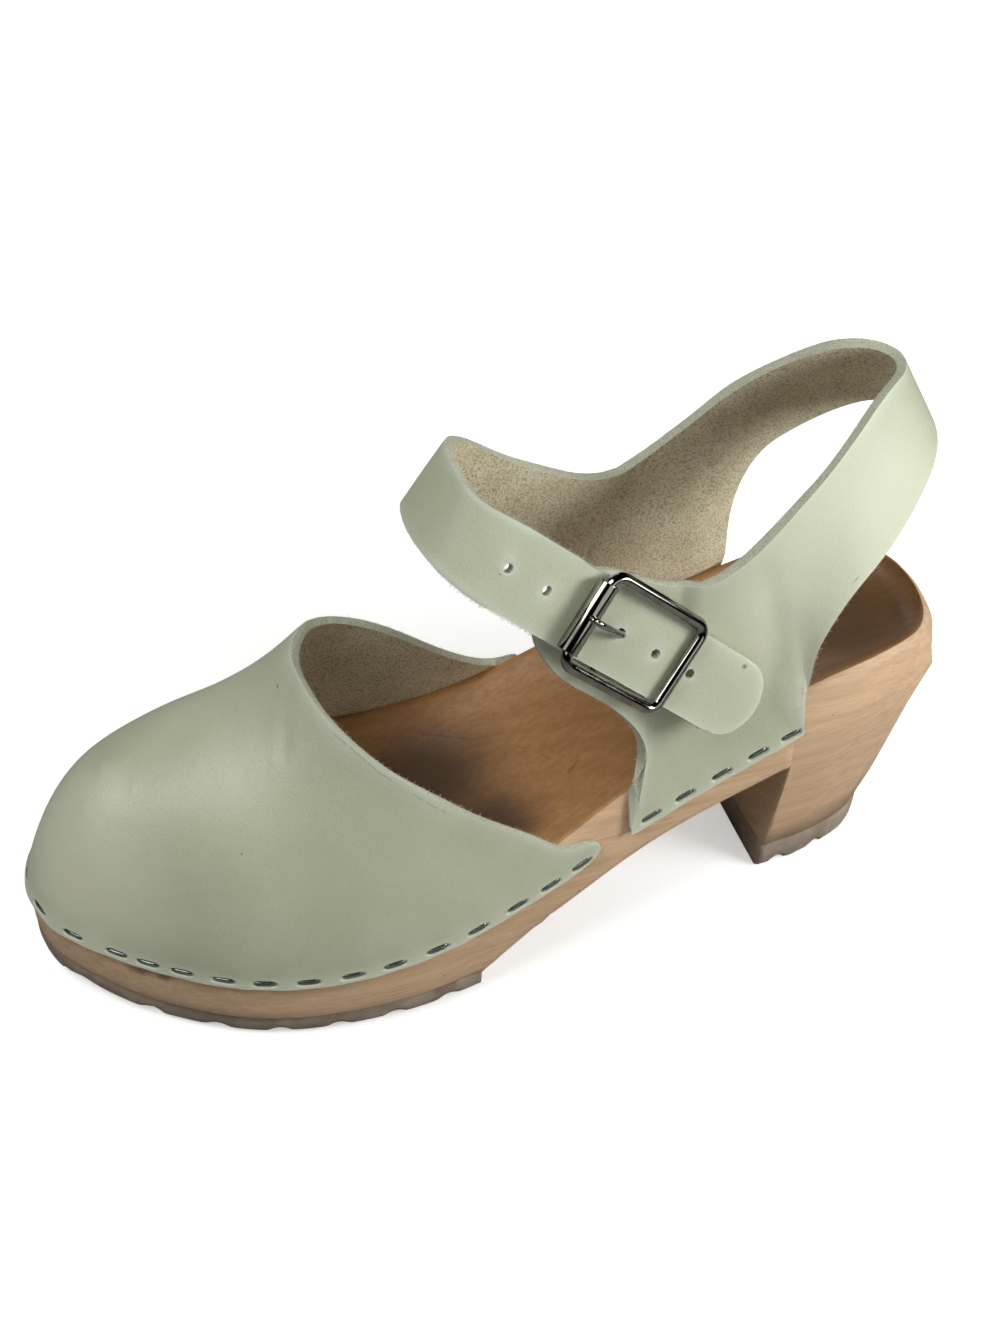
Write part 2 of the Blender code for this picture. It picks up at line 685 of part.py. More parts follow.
def make_back_strap():
    """Tab, outer panel, sling, inner panel and ankle strap, one leather piece with punched holes."""
    mirrored = [Strip(s.low_x, -s.low_y, s.low_z, s.top_x, -s.top_y, s.top_z) for s in reversed(SLING)]
    sling = [straight_strip(s[:3], s[3:]) for s in (*SLING, SLING_BACK, *mirrored)]
    ankle = [straight_strip(s[:3], s[3:]) for s in ANKLE]
    rows = halve_steps([tab_strip(tab) for tab in reversed(TAB)])
    rows += [panel_strip(panel, OUTER) for panel in PANEL]
    rows += halve_steps(sling)
    rows += [panel_strip(panel, INNER) for panel in reversed(PANEL)]
    rows += halve_steps(ankle)
    rows += tail_strips()
    item = sheet_object("back_strap", rows, GREEN_LEATHER, LEATHER, 0.0)
    for k in range(HOLE_COUNT):
        middle = STRAP_START + STRAP_ALONG * HOLE_PITCH * (k - 1)
        punch = [middle + STRAP_OUT * out for out in (-LEATHER, LEATHER)]
        boolean(item, tube_object(f"punch_{k}", punch, HOLE_RADIUS, 12, None, hidden=True), "DIFFERENCE")
    drill = [at_buckle(RIVET_AT, 0, out) for out in (-TAB_DEPTH - LEATHER, -TAB_DEPTH + LEATHER)]
    boolean(item, tube_object("drill_tab", drill, RIVET_POST + GAP, 12, None, hidden=True), "DIFFERENCE")


# Buckle

FRAME_FRONT_OUT = LEATHER / 2 + GAP + ROLLER_RADIUS
FRAME_REAR_OUT = LEATHER / 2 + GAP + FRAME_WIRE
FRAME_TILT = (FRAME_REAR_OUT - FRAME_FRONT_OUT) / (FRAME_REAR - FRAME_FRONT)
BAR_OUT = -(LEATHER / 2 + GAP + CHAPE_THICK + GAP + BAR_WIRE)
ROLLER_FRONT = FRAME_FRONT - ROLLER_SLACK
ROLLER_BORE = FRAME_WIRE + GAP + ROLLER_SLACK
CHAPE_BORE = BAR_WIRE + GAP
CHAPE_LOOP = CHAPE_BORE + CHAPE_THICK
CHAPE_BACK = BAR_OUT - CHAPE_LOOP


def frame_out(along):
    """Height of the frame over the strap's middle layer: its front is higher, for the roller."""
    return FRAME_FRONT_OUT + (along - FRAME_FRONT) * FRAME_TILT


def rounded_frame(corner_points=5):
    """Path of the frame's wire, a rectangle with round corners."""
    path = []
    corners = (
        (FRAME_REAR, FRAME_HALF_WIDTH, 0), (FRAME_FRONT, FRAME_HALF_WIDTH, 90),
        (FRAME_FRONT, -FRAME_HALF_WIDTH, 180), (FRAME_REAR, -FRAME_HALF_WIDTH, 270),
    )
    for along, across, turn in corners:
        middle = (along - math.copysign(FRAME_CORNER, along), across - math.copysign(FRAME_CORNER, across))
        for k in range(corner_points):
            angle = math.radians(turn + 90 * k / (corner_points - 1))
            along_here = middle[0] + FRAME_CORNER * math.cos(angle)
            across_here = FRAME_ASIDE + middle[1] + FRAME_CORNER * math.sin(angle)
            path.append(at_buckle(along_here, across_here, frame_out(along_here)))
    return path


def make_buckle_frame():
    """Wire frame over the strap and its centre bar dropped below the strap."""
    frame = tube_object("buckle_frame", rounded_frame(), FRAME_WIRE, 10, STEEL, closed=True)
    half_drop = [
        (FRAME_HALF_WIDTH, frame_out(0)), (FRAME_HALF_WIDTH, BAR_OUT + BAR_BEND),
        (FRAME_HALF_WIDTH - BAR_BEND, BAR_OUT),
    ]
    drop = [at_buckle(0, FRAME_ASIDE + across, out) for across, out in half_drop]
    drop += [at_buckle(0, FRAME_ASIDE - across, out) for across, out in reversed(half_drop)]
    bar = tube_object("centre_bar", drop, BAR_WIRE, 10, None, hidden=True)
    boolean(frame, bar, "UNION")


def sleeve_object(name, start, end, bore, radius, sides, finish, hidden=False):
    """Hollow round sleeve between two points."""
    inside, outside = (tube_rings((start, end), r, sides) for r in (bore, radius))
    rings = [inside[0], outside[0], outside[1], inside[1]]
    faces = grid_faces(4, sides, closed_columns=True)
    faces += [(3 * sides + c, 3 * sides + (c + 1) % sides, (c + 1) % sides, c) for c in range(sides)]
    item = new_object(name, [p for ring in rings for p in ring], faces, finish, hidden)
    shade(item, 50)
    return item


def make_buckle_roller():
    """Loose sleeve that turns on the frame's front bar, pulled forward by its slack."""
    sides = [FRAME_ASIDE + side * ROLLER_HALF_LENGTH for side in (-1, 1)]
    ends = [at_buckle(ROLLER_FRONT, across, FRAME_FRONT_OUT) for across in sides]
    sleeve_object("buckle_roller", *ends, ROLLER_BORE, ROLLER_RADIUS, 20, STEEL)


def make_buckle_prong():
    """Eye on the centre bar, stem up through a hole of the strap, tip resting on the roller."""
    hole, face = -BUCKLE_FROM_HOLE, LEATHER / 2
    rest = FRAME_FRONT_OUT + ROLLER_RADIUS + GAP + PRONG_RADIUS
    stem = [
        (hole, BAR_OUT - PRONG_RADIUS), (hole, face + 0.2 * PRONG_BEND),
        (hole - 0.3 * PRONG_BEND, face + 0.75 * PRONG_BEND), (hole - PRONG_BEND, face + 1.2 * PRONG_BEND),
        (ROLLER_FRONT + ROLLER_RADIUS, rest), (ROLLER_FRONT - PRONG_TIP, rest),
    ]
    path = [at_buckle(along, 0, out) for along, out in stem]
    prong = tube_object("buckle_prong", path, PRONG_RADIUS, 10, STEEL)
    ends = [at_buckle(0, side * PRONG_EYE_HALF_WIDTH, BAR_OUT) for side in (-1, 1)]
    bore = BAR_WIRE + GAP
    eye = sleeve_object("prong_eye", *ends, bore, bore + PRONG_EYE_WALL, 16, None, hidden=True)
    boolean(prong, eye, "UNION")


def extrude_profile(name, profile, half_width, finish, hidden=False):
    """Solid from a closed profile in (along, out), spread across the strap."""
    count = len(profile)
    verts = [at_buckle(a, side * half_width, o) for side in (-1, 1) for a, o in profile]
    faces = [(c, (c + 1) % count, count + (c + 1) % count, count + c) for c in range(count)]
    faces += [tuple(range(count)), tuple(range(count, 2 * count))]
    return new_object(name, verts, faces, finish, hidden)


def make_buckle_chape():
    """Leather loop round the centre bar, its two layers flat on the tab, notched for the prong."""
    angles = [math.radians(a) for a in range(-90, 136, 15)]
    loop = [(CHAPE_LOOP * math.cos(a), BAR_OUT + CHAPE_LOOP * math.sin(a)) for a in angles]
    top = CHAPE_BACK + 2 * CHAPE_THICK
    profile = loop + [(-CHAPE_STEP, top), (-CHAPE_LENGTH, top), (-CHAPE_LENGTH, CHAPE_BACK)]
    chape = extrude_profile("buckle_chape", profile, CHAPE_HALF_WIDTH, GREEN_LEATHER)
    bore = [at_buckle(0, side * (CHAPE_HALF_WIDTH + CUT_PAST), BAR_OUT) for side in (-1, 1)]
    boolean(chape, tube_object("chape_bore", bore, CHAPE_BORE, 16, None, hidden=True), "DIFFERENCE")
    low, high, end = CHAPE_BACK - CUT_PAST, BAR_OUT + CHAPE_LOOP + CUT_PAST, CHAPE_LOOP + CUT_PAST
    notch = [(-CHAPE_NOTCH_LENGTH, low), (end, low), (end, high), (-CHAPE_NOTCH_LENGTH, high)]
    cutter = extrude_profile("chape_notch", notch, CHAPE_NOTCH_WIDTH / 2, None, hidden=True)
    boolean(chape, cutter, "DIFFERENCE")
    drill = [at_buckle(RIVET_AT, 0, out) for out in (low, top + CUT_PAST)]
    boolean(chape, tube_object("drill_chape", drill, RIVET_POST + GAP, 12, None, hidden=True), "DIFFERENCE")


def make_rivet():
    """Post through tab and chape, flat head under the strap and domed head inside the shoe."""
    outside = CHAPE_BACK + 2 * CHAPE_THICK + GAP
    inside = -TAB_DEPTH - LEATHER / 2 - GAP
    profile = [(turn.radius, outside + turn.rise) for turn in RIVET_FLAT_HEAD]
    profile += [(RIVET_POST, outside), (RIVET_POST, inside)]
    profile += [(turn.radius, inside - turn.rise) for turn in RIVET_DOME_HEAD]
    angles = [2 * math.pi * k / RIVET_SIDES for k in range(RIVET_SIDES)]
    rings = []
    for radius, out in profile:
        ring = [(RIVET_AT + radius * math.cos(a), radius * math.sin(a)) for a in angles]
        rings.append([at_buckle(along, across, out) for along, across in ring])
    rings_object("rivet", rings, BRASS)


# Staples

def land_path(side_stations):
    """Points on the outside of the leather, at the staples' height, along given (x, side) stations."""
    off = GAP + LEATHER + STAPLE_CLEAR + STAPLE_THICK / 2
    points = []
    for x, side in side_stations:
        share = STAPLE_RISE / smooth(LEVELS, "land", x)
        points.append(land_point(x, side, share, off))
    return np.array(points)


def make_staple(name, middle, along, up):
    """Flat crown of one staple, lying along the edge of the leather."""
    mesh = bpy.data.meshes.new(name)
    work = bmesh.new()
    size = Matrix.Diagonal((STAPLE_LENGTH, STAPLE_WIDTH, STAPLE_THICK, 1))
    bmesh.ops.create_cube(work, size=1.0, matrix=size)
    end_edges = [e for e in work.edges if abs(e.verts[0].co.x - e.verts[1].co.x) < TINY]
    bmesh.ops.bevel(work, geom=end_edges, offset=STAPLE_EDGE, segments=1, affect="EDGES")
    out = np.cross(along, up)
    frame = Matrix((along, up, out)).transposed().to_4x4()
    frame.translation = Vector(middle)
    bmesh.ops.transform(work, matrix=Matrix.Scale(MM, 4) @ frame, verts=work.verts)
    bmesh.ops.recalc_face_normals(work, faces=work.faces)
    work.to_mesh(mesh)
    work.free()
    add_object(name, mesh, STEEL)


def staple_at(name, x, side):
    """One staple square to the land at a station."""
    reach = 0.4
    stations = [(x - reach, side), (x + reach, side)]
    before, after = land_path(stations)
    middle = land_path([(x, side)])[0]
    along = unit(after - before)
    slope = land_point(x, side, 1.0) - land_point(x, side, 0.0)
    up = unit(slope - along * (slope @ along))
    make_staple(name, middle, along, up)


def vamp_staple_stations():
    """Stations (x, side) along the vamp's lower edge: the outer ones as placed, the rest at even steps."""
    stations = [(x, OUTER) for x in STAPLE_OUTER_X]
    tip, fine = TOE_X - TINY, 300
    outer = quarter_cosine(STAPLE_OUTER_X[-1], tip, fine)
    inner = quarter_cosine(STAPLE_INNER_END_X, tip, fine)
    walk = [(x, OUTER) for x in outer] + [(x, INNER) for x in inner[::-1]]
    steps = np.linalg.norm(np.diff(land_path(walk), axis=0), axis=1)
    travelled = np.concatenate(((0.0,), np.cumsum(steps)))
    wanted = np.linspace(0, travelled[-1], STAPLE_INNER_COUNT + 1)[1:]
    return stations + [walk[int(np.argmin(abs(travelled - w)))] for w in wanted]


def make_staples():
    """All staples: round the vamp, then along both panels."""
    stations = vamp_staple_stations()
    stations += [(x, side) for side in (OUTER, INNER) for x in STAPLE_PANEL_X]
    for number, (x, side) in enumerate(stations, start=1):
        staple_at(f"staple_{number:02d}", x, side)


def centre_on_origin():
    """Move everything so that the middle of the shoe's box is over the origin."""
    view = bpy.context.evaluated_depsgraph_get()
    shown = [item for item in bpy.data.objects if not item.hide_render]
    meshes = [item.evaluated_get(view).to_mesh() for item in shown]
    points = np.array([tuple(v.co) for mesh in meshes for v in mesh.vertices])
    middle = (points.min(axis=0) + points.max(axis=0)) / 2
    pieces = list(bpy.data.objects)
    shoe = bpy.data.objects.new("clog", None)
    bpy.context.collection.objects.link(shoe)
    for item in pieces:
        item.parent = shoe
    shoe.location = (-middle[0], -middle[1], 0.0)


def main():
    """Build every piece of the clog."""
    for item in list(bpy.data.objects):
        bpy.data.objects.remove(item, do_unlink=True)
    make_wood_sole()
    make_forefoot_tread()
    make_heel_lift()
    make_vamp()
    make_back_strap()
    make_buckle_frame()
    make_buckle_roller()
    make_buckle_prong()
    make_buckle_chape()
    make_rivet()
    make_staples()
    centre_on_origin()


main()
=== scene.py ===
"""Platform clog with an ankle strap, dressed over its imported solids.

Lengths in the fields are millimetres in the row frame: +X to the toe, +Y to the outer side, +Z up.
"""

import logging
import math
from collections.abc import Iterable, Sequence
from dataclasses import dataclass
from enum import Enum
from typing import Any

import bmesh
import bpy
import numpy as np
from mathutils import Matrix, Vector
from mathutils.bvhtree import BVHTree
from mathutils.geometry import delaunay_2d_cdt
from mathutils.kdtree import KDTree


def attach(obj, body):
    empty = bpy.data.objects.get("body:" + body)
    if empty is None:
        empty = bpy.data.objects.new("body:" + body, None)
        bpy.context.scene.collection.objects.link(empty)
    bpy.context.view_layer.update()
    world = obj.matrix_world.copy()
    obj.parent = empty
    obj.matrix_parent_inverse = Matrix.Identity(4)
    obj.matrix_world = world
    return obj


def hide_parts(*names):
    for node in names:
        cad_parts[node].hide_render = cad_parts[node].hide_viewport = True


MM = 0.001
WELD = 2e-6
SHARP_EDGE = math.radians(45)
PAIR_ANGLE = math.radians(30)
PAIR_SHAPE = math.radians(60)
SHORT_EDGE = 0.05
HOLD_SHARE = 0.8
OFF_AXIS = (0.31, 0.77, 0.55)
DELAUNAY_OUTPUT = 4
DELAUNAY_NEAR = 1e-5
LOG = logging.getLogger("clog")

Colour = tuple[float, float, float, float]
Point = tuple[float, float, float]
Socket = bpy.types.NodeSocket

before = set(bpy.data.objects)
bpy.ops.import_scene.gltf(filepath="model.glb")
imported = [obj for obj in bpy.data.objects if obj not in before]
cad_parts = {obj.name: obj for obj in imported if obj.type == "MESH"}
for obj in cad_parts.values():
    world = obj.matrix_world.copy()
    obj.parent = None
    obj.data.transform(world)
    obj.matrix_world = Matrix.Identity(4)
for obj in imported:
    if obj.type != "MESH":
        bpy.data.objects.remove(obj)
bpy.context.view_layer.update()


class Slot(Enum):
    """Material slots of the record."""

    WOOD = "wood"
    RUBBER = "rubber"
    LEATHER = "green_leather"
    NICKEL = "buckle_nickel"
    STEEL = "staple_steel"
    BRASS = "brass"


class Side(Enum):
    """Sides of a cut piece of leather, in the order of its material slots."""

    GRAIN = 0
    FLESH = 1
    CUT = 2


class Zone(Enum):
    """Parts of the wooden sole, in the order of its material slots."""

    TOP = 0
    WALL = 1


def srgb(red: int, green: int, blue: int) -> Colour:
    """Linear colour of a screen colour given in steps of 0 to 255."""
    parts = [value / 255 for value in (red, green, blue)]
    red_part, green_part, blue_part = (
        part / 12.92 if part <= 0.04045 else ((part + 0.055) / 1.055) ** 2.4 for part in parts
    )
    return (red_part, green_part, blue_part, 1.0)


class Sketch:
    """Adds and joins the nodes of one node tree."""

    def __init__(self, tree: bpy.types.NodeTree) -> None:
        """Keeps the tree that is drawn in."""
        self.tree = tree

    def add(self, kind: str, sockets: dict[Any, Any] | None = None, **settings: Any) -> bpy.types.Node:
        """Adds one node.

        Args:
            kind: Blender's name of the node type.
            sockets: Input name or number to a value or to another node's output.
            settings: Properties of the node itself.

        Returns:
            The new node.
        """
        node = self.tree.nodes.new(kind)
        for name, value in settings.items():
            setattr(node, name, value)
        for key, value in (sockets or {}).items():
            self.feed(node.inputs[key], value)
        return node

    def feed(self, socket: Socket, value: Any) -> None:
        """Links an output to a socket, or sets the socket's value."""
        if isinstance(value, bpy.types.NodeSocket):
            self.tree.links.new(value, socket)
        else:
            socket.default_value = value

    def place(self) -> Socket:
        """Point on the piece, in its own metres."""
        return self.add("ShaderNodeTexCoord").outputs["Object"]

    def stretch(self, vector: Socket, scale: Point) -> Socket:
        """Multiplies a vector by a scale for each axis."""
        return self.add("ShaderNodeVectorMath", {0: vector, 1: scale}, operation="MULTIPLY").outputs[0]

    def vector(self, **axes: Any) -> Socket:
        """Vector with the given parts along X, Y and Z; the others are 0."""
        return self.add("ShaderNodeCombineXYZ", axes).outputs[0]

    def noise(self, vector: Socket, scale: Any, detail: float = 2.0, rough: float = 0.5) -> Socket:
        """Cloudy value from 0 to 1.

        Args:
            vector: Where the clouds are read.
            scale: How many clouds there are to a metre.
            detail: Layers of finer clouds.
            rough: Share of the finer layers.

        Returns:
            The value.
        """
        sockets = {"Vector": vector, "Scale": scale, "Detail": detail, "Roughness": rough}
        return self.add("ShaderNodeTexNoise", sockets).outputs["Fac"]

    def calc(self, operation: str, first: Any, second: Any = 0.0) -> Socket:
        """One step of arithmetic on two values."""
        return self.add("ShaderNodeMath", {0: first, 1: second}, operation=operation).outputs[0]

    def remap(
        self, value: Any, low: float, high: float, to_low: float = 0.0, to_high: float = 1.0
    ) -> Socket:
        """Smooth step of a value from one range to another.

        Args:
            value: The value.
            low: Lower end of its range.
            high: Upper end of its range.
            to_low: Result at the lower end.
            to_high: Result at the upper end.

        Returns:
            The result.
        """
        sockets = {"Value": value, 1: low, 2: high, 3: to_low, 4: to_high}
        return self.add("ShaderNodeMapRange", sockets, interpolation_type="SMOOTHSTEP").outputs[0]

    def mix(self, share: Any, first: Any, second: Any) -> Socket:
        """Mixes two colours; a share of 1 gives the second."""
        sockets = {0: share, 6: first, 7: second}
        return self.add("ShaderNodeMix", sockets, data_type="RGBA", blend_type="MIX").outputs[2]

    def tinge(self, colour: Any, mask: Socket, amount: float, other: Any) -> Socket:
        """Lays another colour over one.

        Args:
            colour: The colour so far.
            mask: Where the other colour lies, from 0 to 1.
            amount: How much of it shows where the mask is 1.
            other: The other colour.

        Returns:
            The new colour.
        """
        return self.mix(self.calc("MULTIPLY", mask, amount), colour, other)

    def attribute(self, name: str) -> Socket:
        """Value of a point attribute of the mesh."""
        return self.add("ShaderNodeAttribute", attribute_name=name).outputs["Fac"]

    def bump(
        self, height: Socket, strength: float, depth: float, normal: Socket | None = None
    ) -> Socket:
        """Normal of a fine relief that is a few tenths of a millimetre deep.

        Args:
            height: Height of the relief.
            strength: How strongly it shows.
            depth: Depth in millimetres.
            normal: Relief that this one lies on.

        Returns:
            The normal.
        """
        sockets = {"Height": height, "Strength": strength, "Distance": depth * MM}
        if normal is not None:
            sockets["Normal"] = normal
        return self.add("ShaderNodeBump", sockets).outputs[0]

    def group(self, tree: bpy.types.NodeTree, **values: Any) -> bpy.types.Node:
        """Places a shared group with its own values.

        Args:
            tree: The group.
            values: Its inputs by name, with underscores for spaces.

        Returns:
            The node of the group.
        """
        node = self.add("ShaderNodeGroup", node_tree=tree)
        for name, value in values.items():
            self.feed(node.inputs[name.replace("_", " ").capitalize()], value)
        return node


class Effects:
    """Shader groups that more than one finish uses."""

    def __init__(self) -> None:
        """Builds each group once."""
        self.spot = self._spot()
        self.pebble = self._pebble()
        self.fibre = self._fibre()
        self.timber = self._timber()
        self.specks = self._specks()
        self.scratch = self._scratch()

    @staticmethod
    def _open(name: str, inputs: dict[str, Any], outputs: Sequence[str]) -> tuple[Sketch, Any, Any]:
        """Starts a group.

        Args:
            name: Name of the group.
            inputs: Input names and their first values, a number or a vector.
            outputs: Names of the outputs, all numbers.

        Returns:
            The sketch, the node that brings the inputs and the node that takes the outputs.
        """
        tree = bpy.data.node_groups.new(name, "ShaderNodeTree")
        for label, value in inputs.items():
            kind = "NodeSocketVector" if isinstance(value, tuple) else "NodeSocketFloat"
            tree.interface.new_socket(label, in_out="INPUT", socket_type=kind).default_value = value
        for label in outputs:
            tree.interface.new_socket(label, in_out="OUTPUT", socket_type="NodeSocketFloat")
        sketch = Sketch(tree)
        return sketch, sketch.add("NodeGroupInput"), sketch.add("NodeGroupOutput")

    def _spot(self) -> bpy.types.NodeTree:
        """Round patch with a ragged rim at one place."""
        inputs = {"Centre": (0.0, 0.0, 0.0), "Reach": (1.0, 1.0, 1.0), "Ragged": 0.5, "Cloud": 120.0}
        sketch, given, out = self._open("spot", inputs, ("Mask",))
        place = sketch.place()
        away = sketch.add(
            "ShaderNodeVectorMath", {0: place, 1: given.outputs["Centre"]}, operation="SUBTRACT"
        ).outputs[0]
        scaled = sketch.add(
            "ShaderNodeVectorMath", {0: away, 1: given.outputs["Reach"]}, operation="DIVIDE"
        ).outputs[0]
        far = sketch.add("ShaderNodeVectorMath", {0: scaled}, operation="LENGTH").outputs["Value"]
        cloud = sketch.noise(place, given.outputs["Cloud"], 4.0, 0.6)
        swing = sketch.calc("MULTIPLY", sketch.calc("SUBTRACT", cloud, 0.5), given.outputs["Ragged"])
        reach = sketch.calc("ADD", far, swing)
        sketch.feed(out.inputs["Mask"], sketch.remap(reach, 0.2, 1.0, 1.0, 0.0))
        return sketch.tree

    def _scratch(self) -> bpy.types.NodeTree:
        """Thin uneven line from one place to another."""
        inputs = {"Start": (0.0, 0.0, 0.0), "Way": (1.0, 0.0, 0.0), "Width": 0.001}
        sketch, given, out = self._open("scratch", inputs, ("Mask",))
        place = sketch.place()
        vector = "ShaderNodeVectorMath"
        way = given.outputs["Way"]
        off = sketch.add(vector, {0: place, 1: given.outputs["Start"]}, operation="SUBTRACT").outputs[0]
        reach = sketch.add(vector, {0: off, 1: way}, operation="DOT_PRODUCT").outputs["Value"]
        whole = sketch.add(vector, {0: way, 1: way}, operation="DOT_PRODUCT").outputs["Value"]
        share = sketch.add("ShaderNodeClamp", {0: sketch.calc("DIVIDE", reach, whole)}).outputs[0]
        along = sketch.add(vector, {0: way, "Scale": share}, operation="SCALE").outputs[0]
        away = sketch.add(vector, {0: off, 1: along}, operation="SUBTRACT").outputs[0]
        far = sketch.add(vector, {0: away}, operation="LENGTH").outputs["Value"]
        uneven = sketch.remap(sketch.noise(place, 900.0, 3.0, 0.6), 0.3, 0.7, 0.3, 1.6)
        near = sketch.calc("DIVIDE", far, sketch.calc("MULTIPLY", given.outputs["Width"], uneven))
        sketch.feed(out.inputs["Mask"], sketch.remap(near, 0.4, 1.0, 1.0, 0.0))
        return sketch.tree

    def _pebble(self) -> bpy.types.NodeTree:
        """Small closed grain, with a slow change of tone."""
        sketch, given, out = self._open("pebble", {"Cells": 1400.0, "Clouds": 30.0}, ("Height", "Tone"))
        place = sketch.place()
        cells = sketch.add(
            "ShaderNodeTexVoronoi",
            {"Vector": place, "Scale": given.outputs["Cells"], "Smoothness": 0.7},
            feature="SMOOTH_F1",
        ).outputs["Distance"]
        fine = sketch.noise(place, given.outputs["Cells"], 3.0, 0.6)
        height = sketch.calc("MULTIPLY", cells, 0.6)
        height = sketch.calc("ADD", height, sketch.calc("MULTIPLY", fine, 0.5))
        sketch.feed(out.inputs["Height"], height)
        sketch.feed(out.inputs["Tone"], sketch.noise(place, given.outputs["Clouds"], 3.0, 0.55))
        return sketch.tree

    def _fibre(self) -> bpy.types.NodeTree:
        """Flecks of a raised nap."""
        sketch, given, out = self._open("fibre", {"Scale": 900.0}, ("Fleck", "Patch", "Height"))
        place = sketch.place()
        flecks = sketch.noise(place, given.outputs["Scale"], 3.0, 0.65)
        patch = sketch.noise(place, sketch.calc("MULTIPLY", given.outputs["Scale"], 0.07), 3.0, 0.6)
        hairs = sketch.noise(place, sketch.calc("MULTIPLY", given.outputs["Scale"], 2.3), 2.0, 0.5)
        sketch.feed(out.inputs["Fleck"], sketch.remap(flecks, 0.28, 0.62))
        sketch.feed(out.inputs["Patch"], sketch.remap(patch, 0.3, 0.7))
        relief = sketch.calc("ADD", flecks, sketch.calc("MULTIPLY", hairs, 0.5))
        sketch.feed(out.inputs["Height"], relief)
        return sketch.tree

    def _timber(self) -> bpy.types.NodeTree:
        """Growth rings along the shoe, fine streaks and short flecks."""
        inputs = {"Ring scale": 60.0, "Heart": (0.0, 0.13, -0.09)}
        sketch, given, out = self._open("timber", inputs, ("Rings", "Streak", "Fleck", "Height"))
        place = sketch.place()
        off = sketch.add(
            "ShaderNodeVectorMath", {0: place, 1: given.outputs["Heart"]}, operation="SUBTRACT"
        ).outputs[0]
        along = sketch.stretch(off, (0.16, 1.0, 1.0))
        rings = sketch.add(
            "ShaderNodeTexWave",
            {"Vector": along, "Scale": given.outputs["Ring scale"], "Distortion": 1.6, "Detail": 3.0,
             "Detail Scale": 0.3, "Detail Roughness": 0.6},
            wave_type="RINGS", rings_direction="X",
        ).outputs["Fac"]
        streak = sketch.noise(sketch.stretch(place, (16.0, 700.0, 700.0)), 1.0, 4.0, 0.65)
        dashes = sketch.noise(sketch.stretch(place, (110.0, 1900.0, 1900.0)), 1.0, 2.0, 0.5)
        sketch.feed(out.inputs["Rings"], rings)
        sketch.feed(out.inputs["Streak"], sketch.remap(streak, 0.3, 0.7))
        sketch.feed(out.inputs["Fleck"], sketch.remap(dashes, 0.58, 0.7))
        relief = sketch.calc("SUBTRACT", streak, sketch.calc("MULTIPLY", dashes, 0.6))
        sketch.feed(out.inputs["Height"], relief)
        return sketch.tree

    def _specks(self) -> bpy.types.NodeTree:
        """Sparse dots of dirt."""
        sketch, given, out = self._open("specks", {"Scale": 260.0, "Size": 0.12}, ("Mask",))
        dots = sketch.add(
            "ShaderNodeTexVoronoi", {"Vector": sketch.place(), "Scale": given.outputs["Scale"]}
        )
        chance = sketch.add("ShaderNodeSeparateColor", {0: dots.outputs["Color"]}).outputs[0]
        keep = sketch.remap(chance, 0.86, 0.9)
        near = sketch.calc("LESS_THAN", dots.outputs["Distance"], given.outputs["Size"])
        sketch.feed(out.inputs["Mask"], sketch.calc("MULTIPLY", near, keep))
        return sketch.tree


def new_material(name: str) -> tuple[Sketch, bpy.types.Node]:
    """Starts a material.

    Args:
        name: Name of the finish.

    Returns:
        The sketch of its nodes and its shader.
    """
    material = bpy.data.materials.new(name)
    material.use_nodes = True
    return Sketch(material.node_tree), material.node_tree.nodes["Principled BSDF"]


@dataclass(frozen=True)
class Mark:
    """A soft patch at one place, such as stains, scuffs, specks, painted light and painted shade: its
    middle and its reach on each axis.
    """

    centre: Point
    reach: Point
    ragged: float = 0.6
    cloud: float = 150.0

    def mask(self, sketch: Sketch, effects: Effects) -> Socket:
        """Mask of the mark in a material.

        Args:
            sketch: The material's nodes.
            effects: Shared shader groups.

        Returns:
            The mask.
        """
        centre = tuple(value * MM for value in self.centre)
        reach = tuple(value * MM for value in self.reach)
        node = sketch.group(
            effects.spot, centre=centre, reach=reach, ragged=self.ragged, cloud=self.cloud
        )
        return node.outputs["Mask"]


@dataclass(frozen=True)
class Scratch:
    """A thin line through several places."""

    line: tuple[Point, ...]
    width: float

    def mask(self, sketch: Sketch, effects: Effects) -> Socket:
        """Mask of the line in a material.

        Args:
            sketch: The material's nodes.
            effects: Shared shader groups.

        Returns:
            The mask.
        """
        total: Any = 0.0
        for start, end in zip(self.line[:-1], self.line[1:]):
            way = tuple((b - a) * MM for a, b in zip(start, end))
            place = tuple(a * MM for a in start)
            node = sketch.group(effects.scratch, start=place, way=way, width=self.width * MM)
            total = sketch.calc("MAXIMUM", total, node.outputs["Mask"])
        return total


@dataclass(frozen=True)
class Finish:
    """A material of the clog."""

    name: str

    def material(self, effects: Effects) -> bpy.types.Material:
        """Builds the finish.

        Args:
            effects: Shared shader groups.

        Returns:
            The material.
        """
        sketch, shader = new_material(self.name)
        self.paint(sketch, shader, effects)
        return bpy.data.materials[self.name]

    def paint(self, sketch: Sketch, shader: bpy.types.Node, effects: Effects) -> None:
        """Sets the shader's sockets, which each finish does in its own way.

        Args:
            sketch: The material's nodes.
            shader: Its shader.
            effects: Shared shader groups.
        """
        raise NotImplementedError


